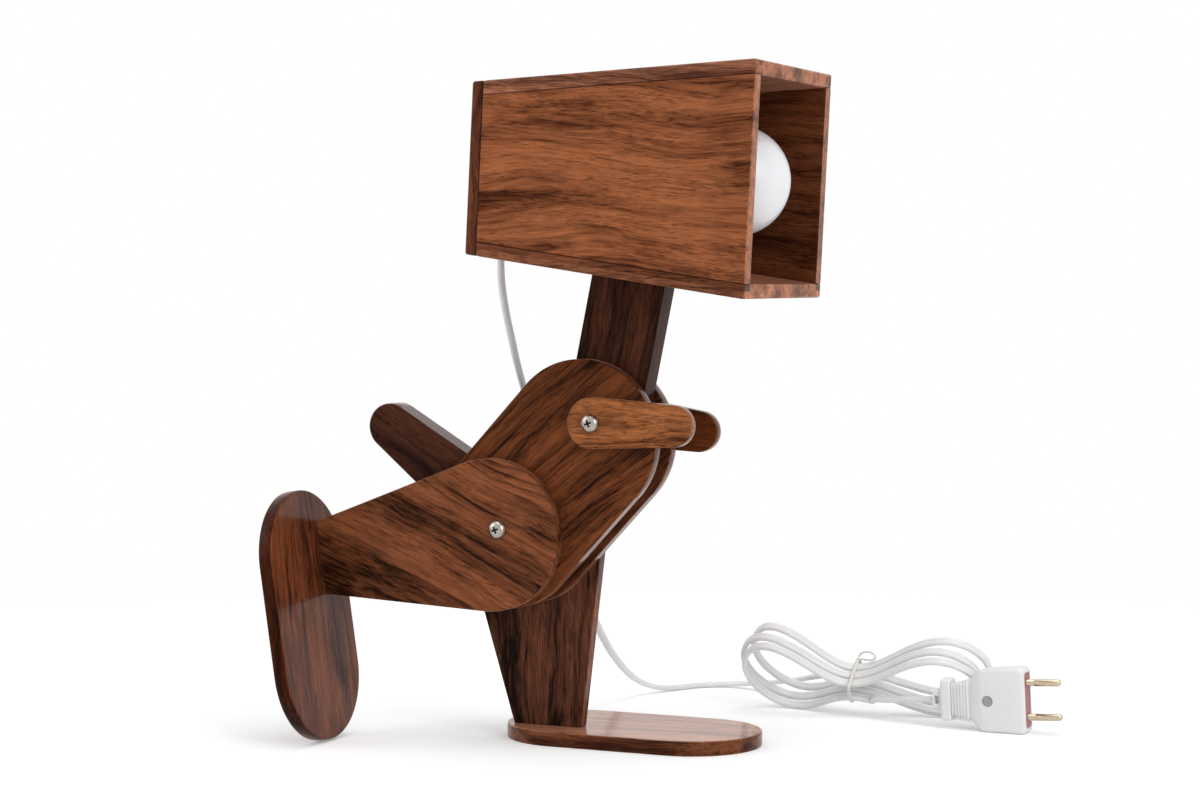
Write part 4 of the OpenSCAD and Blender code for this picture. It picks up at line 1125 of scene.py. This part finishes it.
def roundedRing(work, x, height, thick, corner, steps=6):  # rounded rectangle across the plug's axis
    ring = []
    h, t = height / 2 - corner, thick / 2 - corner
    for cy, cz, start in ((t, h, 0), (-t, h, 90), (-t, -h, 180), (t, -h, 270)):
        for i in range(steps + 1):
            a = deg(start + 90 * i / steps)
            ring.append(work.verts.new((x, cy + corner * math.cos(a), cz + corner * math.sin(a))))
    return ring


def repeatTree(name):  # Geometry Nodes: repeats the piece's own mesh along x, growing a little each time
    tree = bpy.data.node_groups.new(name, "GeometryNodeTree")
    face = tree.interface
    face.new_socket("Geometry", in_out="INPUT", socket_type="NodeSocketGeometry")
    for label, kind in (("Count", "NodeSocketInt"), ("Step", "NodeSocketVector"), ("Growth", "NodeSocketVector"),
                        ("Material", "NodeSocketMaterial")):
        face.new_socket(label, in_out="INPUT", socket_type=kind)
    face.new_socket("Geometry", in_out="OUTPUT", socket_type="NodeSocketGeometry")
    given = tree.nodes.new("NodeGroupInput").outputs
    line = addNode(tree, "GeometryNodeMeshLine", {"Count": given["Count"], "Offset": given["Step"]})
    index = addNode(tree, "GeometryNodeInputIndex").outputs[0]
    size = vectorNode(tree, "ADD", vectorNode(tree, "MULTIPLY", given["Growth"], index), (1.0, 1.0, 1.0))
    copies = addNode(tree, "GeometryNodeInstanceOnPoints", {"Points": line.outputs[0], "Instance": given["Geometry"],
                                                            "Scale": size}).outputs[0]
    solid = addNode(tree, "GeometryNodeRealizeInstances", {"Geometry": copies}).outputs[0]
    solid = addNode(tree, "GeometryNodeSetMaterial", {"Geometry": solid, "Material": given["Material"]}).outputs[0]
    setInputs(tree.nodes.new("NodeGroupOutput"), {"Geometry": solid})
    return tree


def runTree(piece, tree, values):
    modifier = piece.modifiers.new("repeat", "NODES")
    modifier.node_group = tree
    for item in tree.interface.items_tree:
        if item.item_type == "SOCKET" and item.in_out == "INPUT" and item.name in values:
            modifier[item.identifier] = values[item.name]
    bakeModifiers(piece)
    return piece


def joinMeshes(first, *others):
    work = bmesh.new()
    work.from_mesh(first.data)
    for other in others:
        work.from_mesh(other.data)
        bpy.data.objects.remove(other)
    work.to_mesh(first.data)
    work.free()


def makePlug():
    v = plugValues
    front = v["neck"] + v["length"]
    white = materials["plugPlastic"]
    # body: bevelled shoulders, then straight sides that widen to the front
    work = bmesh.new()
    rings = []
    for x, height, thick, corner in (
            (v["neck"], 21.0, 10.6, 1.6), (v["neck"] + 0.4, 22.0, 11.4, 2.0),
            (v["neck"] + 3.6, 28.6, 13.8, 2.4), (v["neck"] + v["bevel"] - 0.9, plugRearH - 1.0, v["thick"] - 0.5, 2.4),
            (v["neck"] + v["bevel"] + 0.4, plugRearH + 0.05, v["thick"], 2.4),
            (front - 3.4, v["height"] - 0.2, v["thick"], 2.4), (front - 2.0, v["height"] - 0.6, v["thick"] - 0.1, 2.4),
            (front - 0.9, v["height"] - 1.6, v["thick"] - 0.7, 2.4),
            (front - 0.2, v["height"] - 3.0, v["thick"] - 1.7, 2.4),
            (front, v["height"] - 4.4, v["thick"] - 2.6, 2.2), (front, v["height"] - 6.4, v["thick"] - 4.2, 1.8),
            (front - 1.9, v["height"] - 6.8, v["thick"] - 4.6, 1.8)):
        rings.append(roundedRing(work, x, height, thick, corner))
    skinRings(work, rings)
    body = finishMesh("plugBody", moveWork(work, plugPlace), white, "torso", None, 28)
    screwSeat, screwX = -v["thick"] / 2 + v["screwSunk"], v["neck"] + v["screwSet"]
    cutter = lathe([(-v["thick"], 0), (-v["thick"], 3.15), (screwSeat, 3.05), (screwSeat, 0)], 48)
    moveWork(cutter, lambda p: plugPlace(Vector((screwX + p.y, p.x, p.z))))
    cutWith(body, meshFrom("recess", cutter))
    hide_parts("plug_body")

    # grip: collar with a window, flange, waisted barrel, and its ribs
    collar = bmesh.new()
    skinRings(collar, [roundedRing(collar, *row) for row in (
        (0.0, 10.0, 7.0, 1.5), (0.3, 11.0, 8.0, 1.8), (4.8, 11.0, 8.0, 1.8), (5.3, 10.6, 7.6, 1.8))])
    grip = finishMesh("plugGrip", moveWork(collar, plugPlace), white, "torso", None, 32)
    cutter = bmesh.new()
    bmesh.ops.create_cube(cutter, size=1.0)
    moveWork(cutter, lambda p: plugPlace(Vector((2.7 + p.x * 2.2, -3.2 + p.y * 4.0, p.z * 4.6))))
    cutWith(grip, meshFrom("window", cutter))
    work = bmesh.new()
    for rows in (((5.25, 21.5, 11.0, 1.6), (5.8, 23.2, 11.9, 1.8), (6.3, 23.5, 12.0, 2.0), (9.9, 23.5, 12.0, 2.0),
                  (10.6, 23.0, 11.7, 1.9), (11.0, 21.8, 11.0, 1.6)),
                 ((10.9, 16.0, 9.5, 2.0), (14.0, 17.2, 10.0, 2.2), (18.0, 19.6, 10.8, 2.2),
                  (v["neck"] + 0.05, 21.6, 11.2, 2.2))):
        skinRings(work, [roundedRing(work, *row) for row in rows])
    barrel = finishMesh("plugBarrel", moveWork(work, plugPlace), white, None, None, 32)
    rib = bmesh.new()
    skinRings(rib, [roundedRing(rib, x, h, t, 2.2, 5) for x, h, t in (
        (-0.46, 17.2, 10.6), (-0.30, 18.0, 11.3), (0.0, 18.3, 11.5), (0.30, 18.0, 11.3), (0.46, 17.2, 10.6))])
    for vert in rib.verts:
        vert.co = vert.co * mm
    mesh = meshFrom("plugRibs", rib, white)
    mesh.shade_smooth()
    ribs = runTree(addObject("plugRibs", mesh), repeatTree("ribsAlong"), {
        "Count": v["ribs"], "Step": (v["ribStep"] * mm, 0.0, 0.0), "Growth": (0.0, 0.018, 0.052), "Material": white})
    for vert in ribs.data.vertices:
        vert.co = plugPlace(vert.co * 1000 + Vector((v["ribFrom"], 0, 0))) * mm
    joinMeshes(grip, barrel, ribs)
    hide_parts("plug_grip")

    work = bmesh.new()
    rings = [roundedRing(work, x, v["height"] - s, v["thick"] - s + 2.2, 1.6) for x, s in (
        (front - 1.8, 6.9), (front - 0.45, 6.9), (front - 0.25, 7.3))]
    skinRings(work, rings)
    finishMesh("plugFace", moveWork(work, plugPlace), materials["plugRed"], "torso", ["plug_face"], 30)

    pins = bmesh.new()
    pinR, tipX = v["pinD"] / 2, front + v["pinLen"]
    profile = [(front - 11.9, 0), (front - 11.9, pinR), (front + 4.0, pinR), (front + 4.3, pinR - 0.12),
               (front + 4.6, pinR), (tipX - 2.0, pinR)]
    profile += [(tipX - 2.0 + 2.0 * math.sin(deg(a)), pinR * math.cos(deg(a))) for a in (15, 30, 45, 60, 75)]
    profile.append((tipX, 0))
    for sign in (-0.5, 0.5):
        one = lathe(profile, 40)
        offset = sign * v["pinSpan"]
        moveWork(one, lambda p: plugPlace(Vector((p.x, p.y, p.z + offset))))
        mesh = meshFrom("pin", one)
        pins.from_mesh(mesh)
        bpy.data.meshes.remove(mesh)
    finishMesh("plugPins", pins, materials["brass"], "torso", ["plug_pins"], 40)

    screw = lathe([(screwSeat, 0), (screwSeat, 2.95), (screwSeat - 0.7, 2.95), (screwSeat - 0.95, 2.6),
                   (screwSeat - 1.0, 0)], 48)
    moveWork(screw, lambda p: plugPlace(Vector((screwX + p.y, p.x, p.z))))
    finishMesh("plugScrew", screw, materials["plugGrey"], "torso", ["plug_screw"], 30)


makePlug()
print("stage: plug")

# tie round the hank, with the loose end of it
tieValues = {"thick": 1.3, "wide": 2.2, "play": 0.5, "corner": 2.4, "endR": 0.55}


def makeTie():
    h = hankValues
    low = -leadValues["width"] / 2 - tieValues["play"]
    high = h["loops"] * h["step"] + leadValues["width"] / 2 + tieValues["play"]
    half = h["waist"] + leadValues["thick"] / 2 + tieValues["play"] + 0.6
    corner = tieValues["corner"]
    path = []
    for cv, cn, start in ((half - corner, high - corner, 0), (corner - half, high - corner, 90),
                          (corner - half, low + corner, 180), (half - corner, low + corner, 270)):
        path += arcPoints((cv, cn), corner, start, start + 90, 6)
    work = bmesh.new()
    rings = []
    for i, p in enumerate(path):
        a, b = path[i - 1], path[(i + 1) % len(path)]
        length = math.hypot(b[0] - a[0], b[1] - a[1])
        out = ((b[1] - a[1]) / length * tieValues["thick"] / 2, -(b[0] - a[0]) / length * tieValues["thick"] / 2)
        rings.append([work.verts.new(hankSpot(tieValues["wide"] / 2 * s, p[0] + out[0] * c, p[1] + out[1] * c))
                      for c, s in circle(10)])
    skinRings(work, rings + rings[:1], False)
    # small loose loop of the tie's end, standing off the top of the waist
    loop = [Vector(h["at"]) + Vector(p) for p in (
        (0.4, -2.0, 7.2), (2.5, -3.0, 9.3), (6.0, -4.0, 10.4), (10.0, -5.0, 9.6), (11.5, -5.4, 7.6), (9.5, -5.0, 6.0),
        (6.0, -4.2, 5.8), (2.4, -3.4, 6.0))]
    tail = []
    for i in range(len(loop) - 1):
        p0, p1, p2, p3 = loop[max(i - 1, 0)], loop[i], loop[i + 1], loop[min(i + 2, len(loop) - 1)]
        for j in range(6):
            t = j / 6
            tail.append(0.5 * ((2 * p1) + (p2 - p0) * t + (2 * p0 - 5 * p1 + 4 * p2 - p3) * t * t
                               + (3 * p1 - p0 - 3 * p2 + p3) * t ** 3))
    tail.append(loop[-1])
    tailRings = []
    for i, p in enumerate(tail):
        t = (tail[min(i + 1, len(tail) - 1)] - tail[max(i - 1, 0)]).normalized()
        side = t.cross(Vector((0, 1, 0))).normalized()
        up = side.cross(t)
        r = tieValues["endR"]
        tailRings.append([work.verts.new(p + r * c * side + r * s * up) for c, s in circle(8)])
    skinRings(work, tailRings)
    for vert in work.verts:
        vert.co *= mm
    finishMesh("leadTie", work, materials["tieVinyl"], "torso", ["cord_tie"], 60)


makeTie()
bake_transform(lead)
print("stage: tie")

stageValues = {"floor": (0.90, 0.90, 0.90), "lift": 0.24, "size": 30.0, "clearNear": 0.45, "clearFar": 1.1}


def seenRays(tree):  # rays that show the floor and the world themselves, as against their light
    rays = addNode(tree, "ShaderNodeLightPath").outputs
    mirrored = mathNode(tree, "MAXIMUM", rays["Is Glossy Ray"], rays["Is Transmission Ray"])
    return mathNode(tree, "MAXIMUM", rays["Is Camera Ray"], mirrored)


def makeStage():
    mesh = bpy.data.meshes.new("floor")
    half = stageValues["size"] / 2
    mesh.from_pydata([(-half, -half, 0), (half, -half, 0), (half, half, 0), (-half, half, 0)], [], [(0, 1, 2, 3)])
    floor = addObject("floor", mesh)
    material = bpy.data.materials.new("floorPaper")
    material.use_nodes = True
    tree = material.node_tree
    tree.nodes.clear()
    diffuse = addNode(tree, "ShaderNodeBsdfDiffuse", {"Color": (*stageValues["floor"], 1)}).outputs[0]
    glow = addNode(tree, "ShaderNodeEmission", {"Color": (1, 1, 1, 1), "Strength": 1.0}).outputs[0]
    coords = addNode(tree, "ShaderNodeTexCoord").outputs["Object"]
    distance = vectorNode(tree, "LENGTH", coords)
    seen = seenRays(tree)
    lift = addNode(tree, "ShaderNodeEmission", {"Color": (1, 1, 1, 1), "Strength": mathNode(
        tree, "MULTIPLY", seen, stageValues["lift"])}).outputs[0]
    paper = addNode(tree, "ShaderNodeAddShader", {0: diffuse, 1: lift}).outputs[0]
    away = rangeNode(tree, distance, stageValues["clearNear"], stageValues["clearFar"])
    fade = times(tree, away, seen)
    mixed = addNode(tree, "ShaderNodeMixShader", {0: fade, 1: paper, 2: glow}).outputs[0]
    setInputs(tree.nodes.new("ShaderNodeOutputMaterial"), {"Surface": mixed})
    mesh.materials.append(material)

    world = bpy.data.worlds.new("studio")
    bpy.context.scene.world = world
    world.use_nodes = True
    tree = world.node_tree
    tree.nodes.clear()
    seen = seenRays(tree)
    strength = rangeNode(tree, seen, 0.0, 1.0, lightValues["world"], 1.0)
    background = addNode(tree, "ShaderNodeBackground", {"Color": (1, 1, 1, 1), "Strength": strength}).outputs[0]
    setInputs(tree.nodes.new("ShaderNodeOutputWorld"), {"Surface": background})


# soft boxes: place, point they look at, size, watts
lightValues = {
    "world": 0.42,
    "boxes": {
        "above": ((0.1, -0.1, 1.7), (0.0, 0.0, 0.1), (1.6, 1.6), 15.0),
        "left": ((-1.5, -1.1, 1.0), (0.0, 0.0, 0.2), (1.0, 1.4), 9.0),
        "right": ((1.6, -0.9, 0.9), (0.0, 0.0, 0.2), (1.0, 1.2), 14.0),
    },
}


def makeLights():
    for name, (place, target, size, watts) in lightValues["boxes"].items():
        data = bpy.data.lights.new(name, "AREA")
        data.shape = "RECTANGLE"
        data.size, data.size_y = size
        data.energy = watts
        box = bpy.data.objects.new(name, data)
        box.location = place
        box.rotation_euler = (Vector(target) - Vector(place)).to_track_quat("-Z", "Y").to_euler()
        bpy.context.scene.collection.objects.link(box)


makeStage()
makeLights()
bpy.context.scene.view_settings.view_transform = "Standard"
print("stage: floor and light")
